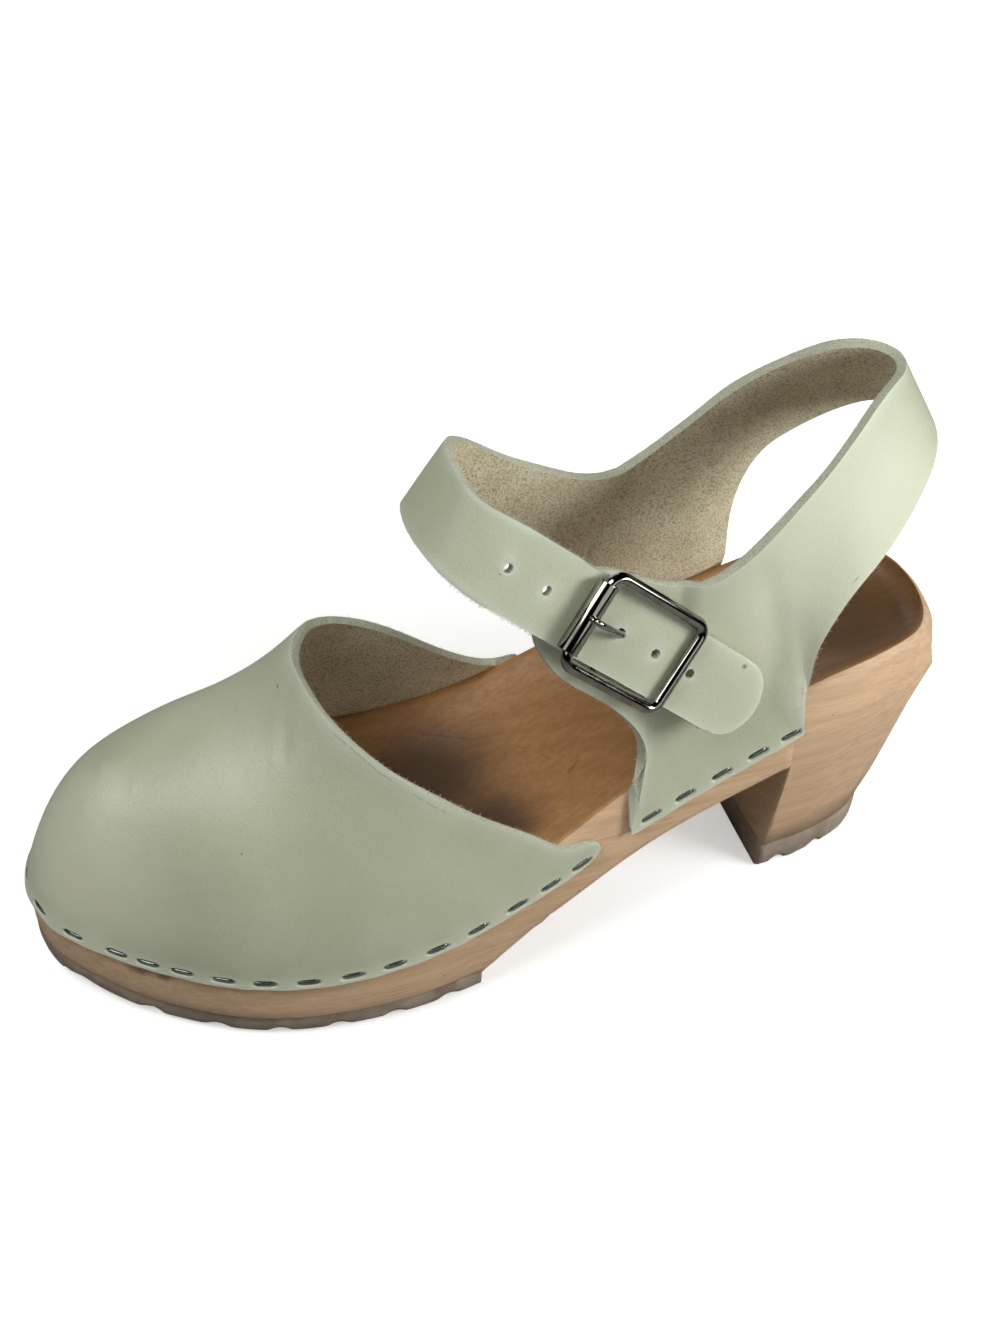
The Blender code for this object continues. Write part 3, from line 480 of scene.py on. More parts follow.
@dataclass(frozen=True)
class GrainLeather(Finish):
    """Smooth dyed side of the leather."""

    name: str = "sage_grain_leather"
    tint: Colour = srgb(196, 201, 174)
    shade: Colour = srgb(185, 190, 162)
    pale: Colour = srgb(210, 218, 201)
    # Colour of the painted light on the sling and the painted highlight on the toe.
    light: Colour = srgb(231, 234, 209)
    # Dark teal: painted shade in the pressed staple slots; also the colour of the scratches and a faint
    # darkening of the grain's pits.
    press: Colour = srgb(84, 100, 88)
    dirt: Colour = srgb(92, 84, 62)
    roughness: float = 0.42
    specks: tuple[Mark, ...] = (
        Mark((96.6, 3.4, 63.0), (0.5, 0.5, 0.5)),
        Mark((74.0, 23.1, 58.1), (0.6, 0.4, 0.5)),
        Mark((56.2, -7.9, 81.9), (0.4, 0.9, 0.6)),
        Mark((-53.0, 32.4, 98.6), (1.1, 1.4, 0.9), 0.8, 900.0),
    )
    scores: tuple[Scratch, ...] = (
        Scratch(
            (
                (47.0, 12.2, 82.9), (45.5, 14.7, 82.3), (42.6, 18.8, 80.9), (38.9, 23.3, 78.4),
                (34.1, 27.7, 75.5), (27.6, 30.5, 70.3), (22.0, 32.8, 66.1),
            ),
            0.3,
        ),
        Scratch(((-80.9, 28.5, 116.6), (-82.6, 28.5, 118.8)), 0.3),
        Scratch(((-74.6, 29.0, 76.6), (-77.0, 29.4, 77.6)), 0.25),
    )
    scuffs: tuple[Mark, ...] = (
        Mark((-75.5, 29.1, 77.1), (2.0, 3.0, 5.0), 1.2, 500.0),
        Mark((-67.5, 26.4, 107.5), (1.2, 3.0, 4.0), 1.2, 600.0),
    )
    # Painted light: a broad lighter patch on the sling where light falls, and a painted highlight on the
    # toe.
    painted_light_patches: tuple[Mark, ...] = (
        Mark((-76.0, 22.0, 122.0), (44.0, 26.0, 62.0), 0.1, 20.0),
        Mark((118.0, 12.0, 44.0), (34.0, 44.0, 44.0), 0.1, 20.0),
    )

    def paint(self, sketch: Sketch, shader: bpy.types.Node, effects: Effects) -> None:
        """Fine closed grain with pits, painted shade in the pressed staple slots, pale edges, scuffs,
        specks, and painted light on the sling and the toe.
        """
        pebble = sketch.group(effects.pebble, cells=1900.0, clouds=26.0)
        fine = sketch.noise(sketch.place(), 900.0, 3.0, 0.65)
        share = sketch.remap(pebble.outputs["Tone"], 0.3, 0.7)
        colour = sketch.mix(share, self.shade, self.tint)
        colour = sketch.mix(sketch.remap(fine, 0.35, 0.75, 0.0, 0.3), colour, self.shade)
        pits = sketch.remap(pebble.outputs["Height"], 0.45, 0.8, 0.0, 0.07)
        colour = sketch.mix(pits, colour, self.press)
        colour = sketch.tinge(colour, sketch.attribute("edge"), 0.75, self.pale)
        colour = sketch.tinge(colour, sketch.attribute("lip"), 0.12, self.pale)
        # Painted shade in the staple slots.
        colour = sketch.tinge(colour, sketch.attribute("press"), 0.75, self.press)
        # The first row paints light on the sling and the toe; the others are scuffs, scratches and specks
        # of dirt.
        for marks, amount, tone in (
            (self.painted_light_patches, 0.7, self.light),
            (self.scuffs, 0.35, self.pale),
            (self.scores, 0.32, self.press),
            (self.specks, 0.8, self.dirt),
        ):
            for mark in marks:
                colour = sketch.tinge(colour, mark.mask(sketch, effects), amount, tone)
        dots = sketch.group(effects.specks, scale=170.0, size=0.05)
        colour = sketch.tinge(colour, dots.outputs["Mask"], 0.45, self.dirt)
        sketch.feed(shader.inputs["Base Color"], colour)
        rough = sketch.remap(fine, 0.3, 0.7, self.roughness - 0.05, self.roughness + 0.08)
        sketch.feed(shader.inputs["Roughness"], rough)
        shader.inputs["Coat Weight"].default_value = 0.08
        shader.inputs["Coat Roughness"].default_value = 0.38
        soft = sketch.bump(sketch.noise(sketch.place(), 90.0, 3.0, 0.55), 0.25, 0.5)
        sketch.feed(shader.inputs["Normal"], sketch.bump(pebble.outputs["Height"], 0.55, 0.14, soft))


@dataclass(frozen=True)
class Suede(Finish):
    """Rough flesh side of the leather."""

    name: str = "khaki_suede"
    dark: Colour = srgb(158, 143, 107)
    middle: Colour = srgb(225, 216, 179)
    pale: Colour = srgb(241, 235, 206)

    def paint(self, sketch: Sketch, shader: bpy.types.Node, effects: Effects) -> None:
        """Flecked nap with paler patches."""
        nap = sketch.group(effects.fibre, scale=1500.0)
        colour = sketch.mix(nap.outputs["Fleck"], self.dark, self.middle)
        lift = sketch.calc("MULTIPLY", nap.outputs["Patch"], nap.outputs["Fleck"])
        colour = sketch.tinge(colour, lift, 0.7, self.pale)
        sketch.feed(shader.inputs["Base Color"], colour)
        shader.inputs["Roughness"].default_value = 0.95
        shader.inputs["Sheen Weight"].default_value = 0.25
        shader.inputs["Sheen Roughness"].default_value = 0.6
        sketch.feed(shader.inputs["Normal"], sketch.bump(nap.outputs["Height"], 0.7, 0.35))


@dataclass(frozen=True)
class CutEdge(Finish):
    """Raw cut edge of the leather, and the fibres that stand out of it."""

    name: str = "raw_leather_edge"
    dark: Colour = srgb(172, 176, 150)
    pale: Colour = srgb(214, 215, 194)
    roughness: float = 0.9

    def paint(self, sketch: Sketch, shader: bpy.types.Node, effects: Effects) -> None:
        """Short pale nap."""
        nap = sketch.group(effects.fibre, scale=2400.0)
        sketch.feed(shader.inputs["Base Color"], sketch.mix(nap.outputs["Fleck"], self.dark, self.pale))
        shader.inputs["Roughness"].default_value = self.roughness
        sketch.feed(shader.inputs["Normal"], sketch.bump(nap.outputs["Height"], 0.6, 0.3))


@dataclass(frozen=True)
class Timber(Finish):
    """Oiled wood of the sole."""

    pale: Colour
    warm: Colour
    dark: Colour
    stain_and_shade: Colour
    roughness: float
    streak_share: float
    stain_and_shade_share: float
    marks: tuple[Mark, ...] = ()
    scratches: tuple[Scratch, ...] = ()

    def paint(self, sketch: Sketch, shader: bpy.types.Node, effects: Effects) -> None:
        """Growth rings, streaks, flecks, scratches and darker marks; on the footbed some marks are partly
        painted shade.
        """
        grain = sketch.group(effects.timber, ring_scale=55.0)
        cloud = sketch.noise(sketch.stretch(sketch.place(), (14.0, 40.0, 40.0)), 1.0, 3.0, 0.55)
        share = sketch.calc("MULTIPLY", grain.outputs["Rings"], 0.3)
        share = sketch.calc("ADD", share, sketch.calc("MULTIPLY", cloud, 0.5))
        colour = sketch.mix(share, self.pale, self.warm)
        colour = sketch.tinge(colour, grain.outputs["Streak"], self.streak_share, self.dark)
        colour = sketch.tinge(colour, grain.outputs["Fleck"], 0.3, self.dark)
        # Darker marks: stains, and on the footbed partly painted shade.
        for mark in self.marks:
            colour = sketch.tinge(colour, mark.mask(sketch, effects), self.stain_and_shade_share, self.stain_and_shade)
        for line in self.scratches:
            colour = sketch.tinge(colour, line.mask(sketch, effects), 0.35, self.stain_and_shade)
        dots = sketch.group(effects.specks, scale=150.0, size=0.06)
        colour = sketch.tinge(colour, dots.outputs["Mask"], 0.5, self.stain_and_shade)
        sketch.feed(shader.inputs["Base Color"], colour)
        rough = sketch.remap(grain.outputs["Streak"], 0.0, 1.0, self.roughness, self.roughness + 0.12)
        sketch.feed(shader.inputs["Roughness"], rough)
        sketch.feed(shader.inputs["Normal"], sketch.bump(grain.outputs["Height"], 0.35, 0.12))


@dataclass(frozen=True)
class Rubber(Finish):
    """Matt rubber of the tread and the heel lift."""

    name: str = "taupe_rubber"
    tint: Colour = srgb(172, 156, 138)
    shade: Colour = srgb(146, 131, 115)
    dust: Colour = srgb(172, 160, 144)

    def paint(self, sketch: Sketch, shader: bpy.types.Node, effects: Effects) -> None:
        """Fine grain with specks of dust."""
        pebble = sketch.group(effects.pebble, cells=800.0, clouds=120.0)
        colour = sketch.mix(sketch.remap(pebble.outputs["Tone"], 0.3, 0.7), self.shade, self.tint)
        dots = sketch.group(effects.specks, scale=320.0, size=0.2)
        colour = sketch.tinge(colour, dots.outputs["Mask"], 0.5, self.dust)
        sketch.feed(shader.inputs["Base Color"], colour)
        shader.inputs["Roughness"].default_value = 0.8
        sketch.feed(shader.inputs["Normal"], sketch.bump(pebble.outputs["Height"], 0.4, 0.2))


@dataclass(frozen=True)
class Metal(Finish):
    """Bare or plated metal with faint smudges."""

    tint: Colour
    shade: Colour
    gloss: float
    matt: float

    def paint(self, sketch: Sketch, shader: bpy.types.Node, effects: Effects) -> None:
        """Smudged shine."""
        pebble = sketch.group(effects.pebble, cells=900.0, clouds=260.0)
        smudge = sketch.remap(pebble.outputs["Tone"], 0.4, 0.75)
        sketch.feed(shader.inputs["Base Color"], sketch.mix(smudge, self.tint, self.shade))
        sketch.feed(shader.inputs["Roughness"], sketch.remap(smudge, 0.0, 1.0, self.gloss, self.matt))
        shader.inputs["Metallic"].default_value = 1.0
        sketch.feed(shader.inputs["Normal"], sketch.bump(pebble.outputs["Height"], 0.04, 0.03))


class Finishes:
    """Every material of the clog, built once."""

    def __init__(self) -> None:
        """Builds the shared groups and the materials."""
        effects = Effects()
        self.grain = GrainLeather().material(effects)
        self.suede = Suede().material(effects)
        self.cut = CutEdge().material(effects)
        self.wall = Timber(
            "pale_wood_side", srgb(226, 195, 160), srgb(206, 171, 134), srgb(160, 120, 84),
            srgb(96, 62, 38), 0.5, 0.3, 0.65,
            (
                # Darker marks on the toe's side, just below the vamp's edge.
                Mark((104.0, 24.6, 20.0), (7.0, 5.0, 2.2), 0.8, 300.0),
                Mark((98.0, 28.6, 19.8), (4.0, 4.0, 2.0), 0.8, 300.0),
                Mark((88.0, 34.8, 20.8), (4.5, 4.0, 1.7), 0.8, 300.0),
                Mark((82.0, 37.8, 21.0), (3.5, 4.0, 1.4), 0.8, 300.0),
            ),
        ).material(effects)
        self.bed = Timber(
            "oiled_footbed", srgb(194, 146, 92), srgb(172, 124, 73), srgb(117, 76, 41),
            srgb(58, 38, 22), 0.46, 0.3, 0.88,
            (
                # Painted shadow under the vamp's throat and edge, together with dark wear on the front of
                # the footbed.
                Mark((17.0, -6.0, 31.0), (36.0, 30.0, 28.0), 0.4, 45.0),
                Mark((5.0, 18.0, 36.0), (24.0, 18.0, 18.0), 0.4, 60.0),
                # Heel seat: darker from oil and wear, partly painted shade under the back strap.
                Mark((-98.0, 0.0, 72.0), (46.0, 44.0, 30.0), 0.15, 40.0),
            ),
            (
                Scratch(
                    ((11.7, -22.1, 33.4), (2.3, -15.1, 36.5), (-4.5, -8.7, 39.5), (-12.4, -1.3, 42.7)), 0.3
                ),
                Scratch(((-18.6, 12.5, 46.4), (-20.3, 11.9, 47.3), (-22.1, 10.7, 48.2)), 0.4),
                Scratch(((-13.9, 1.0, 43.5), (-16.0, 5.6, 44.7)), 0.3),
            ),
        ).material(effects)
        self.rubber = Rubber().material(effects)
        nickel = Metal("polished_nickel", srgb(152, 150, 141), srgb(122, 119, 112), 0.07, 0.16)
        steel = Metal("staple_wire", srgb(150, 154, 150), srgb(92, 98, 94), 0.22, 0.4)
        brass = Metal("worn_brass", srgb(206, 164, 92), srgb(150, 112, 58), 0.2, 0.42)
        self.nickel = nickel.material(effects)
        self.steel = steel.material(effects)
        self.brass = brass.material(effects)


def merged(node: str) -> bmesh.types.BMesh:
    """Copy of a CAD node's mesh with its corners joined and its triangles paired.

    Args:
        node: Name of the CAD node.

    Returns:
        The mesh to work on.
    """
    work = bmesh.new()
    work.from_mesh(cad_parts[node].data)
    bmesh.ops.remove_doubles(work, verts=work.verts, dist=WELD)
    bmesh.ops.join_triangles(
        work, faces=work.faces, angle_face_threshold=PAIR_ANGLE, angle_shape_threshold=PAIR_SHAPE
    )
    for item in work.faces:
        item.smooth = True
    work.normal_update()
    return work


def islands(work: bmesh.types.BMesh, turn: float) -> list[list[bmesh.types.BMFace]]:
    """Groups of faces that hang together.

    Args:
        work: The mesh.
        turn: An edge that turns more than this angle parts two groups.

    Returns:
        The groups, the largest area first.
    """
    found = []
    seen = set()
    for start in work.faces:
        if start in seen:
            continue
        seen.add(start)
        stack = [start]
        island = []
        while stack:
            item = stack.pop()
            island.append(item)
            soft = (e for e in item.edges if len(e.link_faces) == 2 and e.calc_face_angle() < turn)
            for other in (face for edge in soft for face in edge.link_faces if face not in seen):
                seen.add(other)
                stack.append(other)
        found.append(island)
    return sorted(found, key=lambda island: -area_of(island))


def area_of(faces: Iterable[bmesh.types.BMFace]) -> float:
    """Area of several faces in square metres."""
    return sum(item.calc_area() for item in faces)


def is_line(edge: bmesh.types.BMEdge) -> bool:
    """Whether an edge is sharp or lies between two material slots."""
    if len(edge.link_faces) != 2:
        return False
    one, other = edge.link_faces
    return one.material_index != other.material_index or edge.calc_face_angle() > SHARP_EDGE


def crease_lines(work: bmesh.types.BMesh, amount: float) -> None:
    """Keeps the sharp edges, and the lines between material slots, crisp when the mesh is rounded."""
    layer = work.edges.layers.float.new("crease_edge")
    for edge in filter(is_line, work.edges):
        edge[layer] = amount


def new_piece(name: str, mesh: bpy.types.Mesh, *materials: bpy.types.Material) -> bpy.types.Object:
    """Object with a mesh and its materials, linked to the scene.

    Args:
        name: Name of the piece.
        mesh: Its mesh.
        materials: Its materials, in the order of their slots.

    Returns:
        The piece.
    """
    piece = bpy.data.objects.new(name, mesh)
    bpy.context.collection.objects.link(piece)
    for material in materials:
        mesh.materials.append(material)
    return piece


def piece_from(work: bmesh.types.BMesh, name: str, *materials: bpy.types.Material) -> bpy.types.Object:
    """Object made from a mesh that was worked on.

    Args:
        work: The mesh, which is freed.
        name: Name of the piece.
        materials: Its materials, in the order of their slots.

    Returns:
        The piece.
    """
    mesh = bpy.data.meshes.new(name)
    work.to_mesh(mesh)
    work.free()
    return new_piece(name, mesh, *materials)


def settle(piece: bpy.types.Object) -> None:
    """Turns the result of a piece's modifiers into its plain mesh."""
    graph = bpy.context.evaluated_depsgraph_get()
    mesh = bpy.data.meshes.new_from_object(piece.evaluated_get(graph))
    piece.modifiers.clear()
    piece.data = mesh


def rounded(piece: bpy.types.Object, levels: int, holds: int = 0) -> None:
    """Subdivides a piece smoothly.

    Args:
        piece: The piece.
        levels: How often each face is divided.
        holds: How often the cage is corrected, so that the surface passes through its first vertices.
    """
    finer = piece.modifiers.new("round", "SUBSURF")
    finer.levels = levels
    finer.render_levels = levels
    wanted = points_of(piece.data)
    for _ in range(holds):
        graph = bpy.context.evaluated_depsgraph_get()
        reached = points_of(piece.evaluated_get(graph).data)[: len(wanted)]
        move_points(piece.data, points_of(piece.data) + HOLD_SHARE * (wanted - reached))
    settle(piece)


def points_of(mesh: bpy.types.Mesh) -> np.ndarray:
    """Vertices of a mesh in millimetres."""
    flat = np.empty(len(mesh.vertices) * 3)
    mesh.vertices.foreach_get("co", flat)
    return flat.reshape(-1, 3) / MM


def normals_of(mesh: bpy.types.Mesh) -> np.ndarray:
    """Normals at the vertices of a mesh."""
    flat = np.empty(len(mesh.vertices) * 3)
    mesh.vertex_normals.foreach_get("vector", flat)
    return flat.reshape(-1, 3)


def ends_of(mesh: bpy.types.Mesh) -> tuple[np.ndarray, np.ndarray]:
    """First and second vertex of each edge of a mesh."""
    flat = np.empty(len(mesh.edges) * 2, dtype=np.int32)
    mesh.edges.foreach_get("vertices", flat)
    return flat[::2], flat[1::2]


def gather(places: np.ndarray, vectors: np.ndarray, count: int) -> np.ndarray:
    """Sums vectors that belong to the same place."""
    return np.stack([np.bincount(places, column, count) for column in vectors.T], axis=1)


def border_lines(mesh: bpy.types.Mesh, underside: float = -2.0) -> np.ndarray:
    """Whether each edge of a mesh lies between two material slots, or at the rim of the underside.

    Args:
        mesh: The mesh.
        underside: Faces whose normal's z is below this belong to the underside.

    Returns:
        One flag for each edge.
    """
    slots = np.zeros((len(mesh.edges), len(mesh.materials) + 1), dtype=bool)
    edges = np.empty(len(mesh.loops), dtype=np.int32)
    mesh.loops.foreach_get("edge_index", edges)
    for item in mesh.polygons:
        slot = -1 if item.normal.z < underside else item.material_index
        slots[edges[item.loop_start : item.loop_start + item.loop_total], slot] = True
    return slots.sum(axis=1) > 1


def turns_of(mesh: bpy.types.Mesh, line: np.ndarray) -> np.ndarray:
    """How much a line of edges turns at each vertex.

    Args:
        mesh: The mesh.
        line: Which of its edges belong to lines.

    Returns:
        One value for each vertex: 0 where the line is straight, 2 where it runs back.
    """
    first, second = ends_of(mesh)
    points = points_of(mesh)
    way = (points[second] - points[first]) * line[:, None]
    way /= np.maximum(np.linalg.norm(way, axis=1), WELD)[:, None]
    turn = gather(first, way, len(points)) - gather(second, way, len(points))
    return np.linalg.norm(turn, axis=1)


def pulls_of(mesh: bpy.types.Mesh, points: np.ndarray, line: np.ndarray) -> np.ndarray:
    """Way from each vertex to the middle of its neighbours.

    The neighbours of a vertex on a line are those on the line.

    Args:
        mesh: The mesh.
        points: Where its vertices are now, in millimetres.
        line: Which of its edges belong to lines.

    Returns:
        One vector for each vertex.
    """
    count = len(points)
    first, second = ends_of(mesh)
    on_line = np.zeros(count, dtype=bool)
    on_line[first[line]] = True
    on_line[second[line]] = True
    way = points[second] - points[first]
    weight = 1 / np.maximum(np.linalg.norm(way, axis=1), SHORT_EDGE)
    ahead = weight * (line | ~on_line[first])
    behind = weight * (line | ~on_line[second])
    total = np.bincount(first, ahead, count) + np.bincount(second, behind, count)
    move = gather(first, way * ahead[:, None], count) - gather(second, way * behind[:, None], count)
    return move / np.maximum(total, WELD)[:, None]


def move_points(mesh: bpy.types.Mesh, points: np.ndarray) -> None:
    """Puts vertices, given in millimetres, back into a mesh."""
    mesh.vertices.foreach_set("co", (points * MM).ravel())
    mesh.update()


def write_mask(mesh: bpy.types.Mesh, name: str, values: np.ndarray) -> None:
    """Stores a value for each vertex."""
    mesh.attributes.new(name, "FLOAT", "POINT").data.foreach_set("value", values.astype(np.float32))


def smooth_step(values: np.ndarray, low: float, high: float) -> np.ndarray:
    """Smooth rise from 0 at low to 1 at high."""
    share = np.clip((values - low) / (high - low), 0.0, 1.0)
    return share * share * (3 - 2 * share)


def ripple(points: np.ndarray, length: float, seed: int) -> np.ndarray:
    """Soft uneven swell of about one unit.

    Args:
        points: Where it is read, in millimetres.
        length: About how long its waves are, in millimetres.
        seed: Seed of its waves.

    Returns:
        One value for each point.
    """
    chance = np.random.default_rng(seed)
    total = np.zeros(len(points))
    waves = 7
    for _ in range(waves):
        way = chance.normal(size=3)
        way *= 2 * math.pi / (length * chance.uniform(0.7, 1.5) * np.linalg.norm(way))
        total += np.sin(points @ way + chance.uniform(0, 2 * math.pi))
    return total / math.sqrt(waves)


def finish_piece(piece: bpy.types.Object, slot: Slot, *nodes: str) -> None:
    """Hides the CAD nodes that a piece replaces, and hangs the piece on the root body.

    Args:
        piece: The piece.
        slot: Not used.
        nodes: CAD nodes that it replaces.
    """
    if nodes:
        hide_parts(*nodes)
    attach(piece, "root")
    LOG.info("%s: %d faces", piece.name, len(piece.data.polygons))


@dataclass(frozen=True)
class Seat:
    """Where one staple lies on the leather: point of the surface and the staple's own axes."""

    centre: np.ndarray
    along: np.ndarray
    across: np.ndarray
    out: np.ndarray


def seat_finder(seats: list[Seat]) -> KDTree:
    """Search tree that finds the staple nearest to a place in metres."""
    near = KDTree(len(seats))
    for number, seat in enumerate(seats):
        near.insert(Vector(seat.centre * MM), number)
    near.balance()
    return near


@dataclass
class Staples:
    """Wire staples that hold the leather to the wood."""

    length: float = 7.2
    width: float = 1.05
    thick: float = 0.6
    leg: float = 1.3
    sink: float = 0.78
    vamp_count: int = 28
    count: int = 38

    def sizes(self) -> dict[str, float]:
        """Named sizes of one staple in millimetres."""
        return {"Length": self.length, "Width": self.width, "Thick": self.thick, "Leg": self.leg}

    def names(self) -> list[str]:
        """Names of the CAD nodes."""
        return [f"staple_{number:02d}" for number in range(1, self.count + 1)]

    def seats(self) -> list[Seat]:
        """Reads where each staple of the CAD model lies.

        Returns:
            One seat for each staple, those of the vamp first.
        """
        trees = {}
        for node in ("vamp", "back_strap"):
            work = merged(node)
            trees[node] = BVHTree.FromBMesh(work)
            work.free()
        found = []
        for number, name in enumerate(self.names()):
            points = points_of(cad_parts[name].data)
            middle = points.mean(axis=0)
            carrier = trees["vamp" if number < self.vamp_count else "back_strap"]
            place, normal, _, _ = carrier.find_nearest(Vector(middle * MM))
            out = np.array(normal)
            along = np.linalg.svd(points - middle, full_matrices=False)[2][0]
            along = along - out * (along @ out)
            along /= np.linalg.norm(along)
            found.append(Seat(np.array(place) / MM, along, np.cross(out, along), out))
        return found

    def tree(self, steel: bpy.types.Material) -> tuple[bpy.types.NodeTree, dict[str, str]]:
        """Node tree that puts a bent wire crown on every point.

        Args:
            steel: Material of the wire.

        Returns:
            The tree, and the identifier of each named size.
        """
        tree = bpy.data.node_groups.new("staple_row", "GeometryNodeTree")
        tree.interface.new_socket("Seats", in_out="INPUT", socket_type="NodeSocketGeometry")
        keys = {}
        for label, value in self.sizes().items():
            socket = tree.interface.new_socket(label, in_out="INPUT", socket_type="NodeSocketFloat")
            socket.default_value = value * MM
            keys[label] = socket.identifier
        tree.interface.new_socket("Staples", in_out="OUTPUT", socket_type="NodeSocketGeometry")
        sketch = Sketch(tree)
        given = sketch.add("NodeGroupInput").outputs
        half = sketch.calc("MULTIPLY", given["Length"], 0.5)
        start = sketch.vector(X=sketch.calc("MULTIPLY", half, -1.0))
        end = sketch.vector(X=half)
        line = sketch.add("GeometryNodeCurvePrimitiveLine", {"Start": start, "End": end}).outputs[0]
        fine = sketch.add("GeometryNodeResampleCurve", {"Curve": line, "Count": 17}).outputs[0]
        point = sketch.add("GeometryNodeInputPosition").outputs[0]
        place = sketch.add("ShaderNodeSeparateXYZ", {0: point})
        reach = sketch.calc("DIVIDE", sketch.calc("ABSOLUTE", place.outputs["X"]), half)
        drop = sketch.calc("MULTIPLY", sketch.calc("POWER", reach, 4.0), given["Leg"])
        offset = sketch.vector(Z=sketch.calc("MULTIPLY", drop, -1.0))
        bent = sketch.add("GeometryNodeSetPosition", {"Geometry": fine, "Offset": offset}).outputs[0]
        upright = sketch.add("GeometryNodeSetCurveNormal", {"Curve": bent}, mode="Z_UP").outputs[0]
        section = sketch.add(
            "GeometryNodeCurvePrimitiveQuadrilateral",
            {"Width": given["Width"], "Height": given["Thick"]},
        ).outputs[0]
        fillet = sketch.calc("MULTIPLY", given["Thick"], 0.4)
        soft = sketch.add(
            "GeometryNodeFilletCurve", {"Curve": section, "Radius": fillet}, mode="POLY"
        )
        soft.inputs["Count"].default_value = 2
        wire = sketch.add(
            "GeometryNodeCurveToMesh",
            {"Curve": upright, "Profile Curve": soft.outputs[0], "Fill Caps": True},
        ).outputs[0]
        turn = sketch.add(
            "GeometryNodeInputNamedAttribute", {"Name": "turn"}, data_type="FLOAT_VECTOR"
        ).outputs[0]
        spread = sketch.add(
            "GeometryNodeInstanceOnPoints",
            {"Points": given["Seats"], "Instance": wire,
             "Rotation": sketch.add("FunctionNodeEulerToRotation", {0: turn}).outputs[0]},
        ).outputs[0]
        real = sketch.add("GeometryNodeRealizeInstances", {0: spread}).outputs[0]
        shaded = sketch.add("GeometryNodeSetShadeSmooth", {0: real}).outputs[0]
        done = sketch.add("GeometryNodeSetMaterial", {"Geometry": shaded, "Material": steel}).outputs[0]
        sketch.add("NodeGroupOutput", {0: done})
        return tree, keys

    def build(self, seats: list[Seat], finishes: Finishes) -> None:
        """Makes all staples as one piece.

        Args:
            seats: Where they lie.
            finishes: Materials of the clog.
        """
        mesh = bpy.data.meshes.new("staples")
        mesh.from_pydata([tuple((seat.centre - seat.out * self.sink) * MM) for seat in seats], [], [])
        turns = []
        for seat in seats:
            turns += Matrix((seat.along, seat.across, seat.out)).transposed().to_euler()
        mesh.attributes.new("turn", "FLOAT_VECTOR", "POINT").data.foreach_set("vector", turns)
        piece = new_piece("staples", mesh)
        tree, keys = self.tree(finishes.steel)
        spread = piece.modifiers.new("staple_row", "NODES")
        spread.node_group = tree
        for label, size in self.sizes().items():
            spread[keys[label]] = size * MM
        settle(piece)
        finish_piece(piece, Slot.STEEL, *self.names())


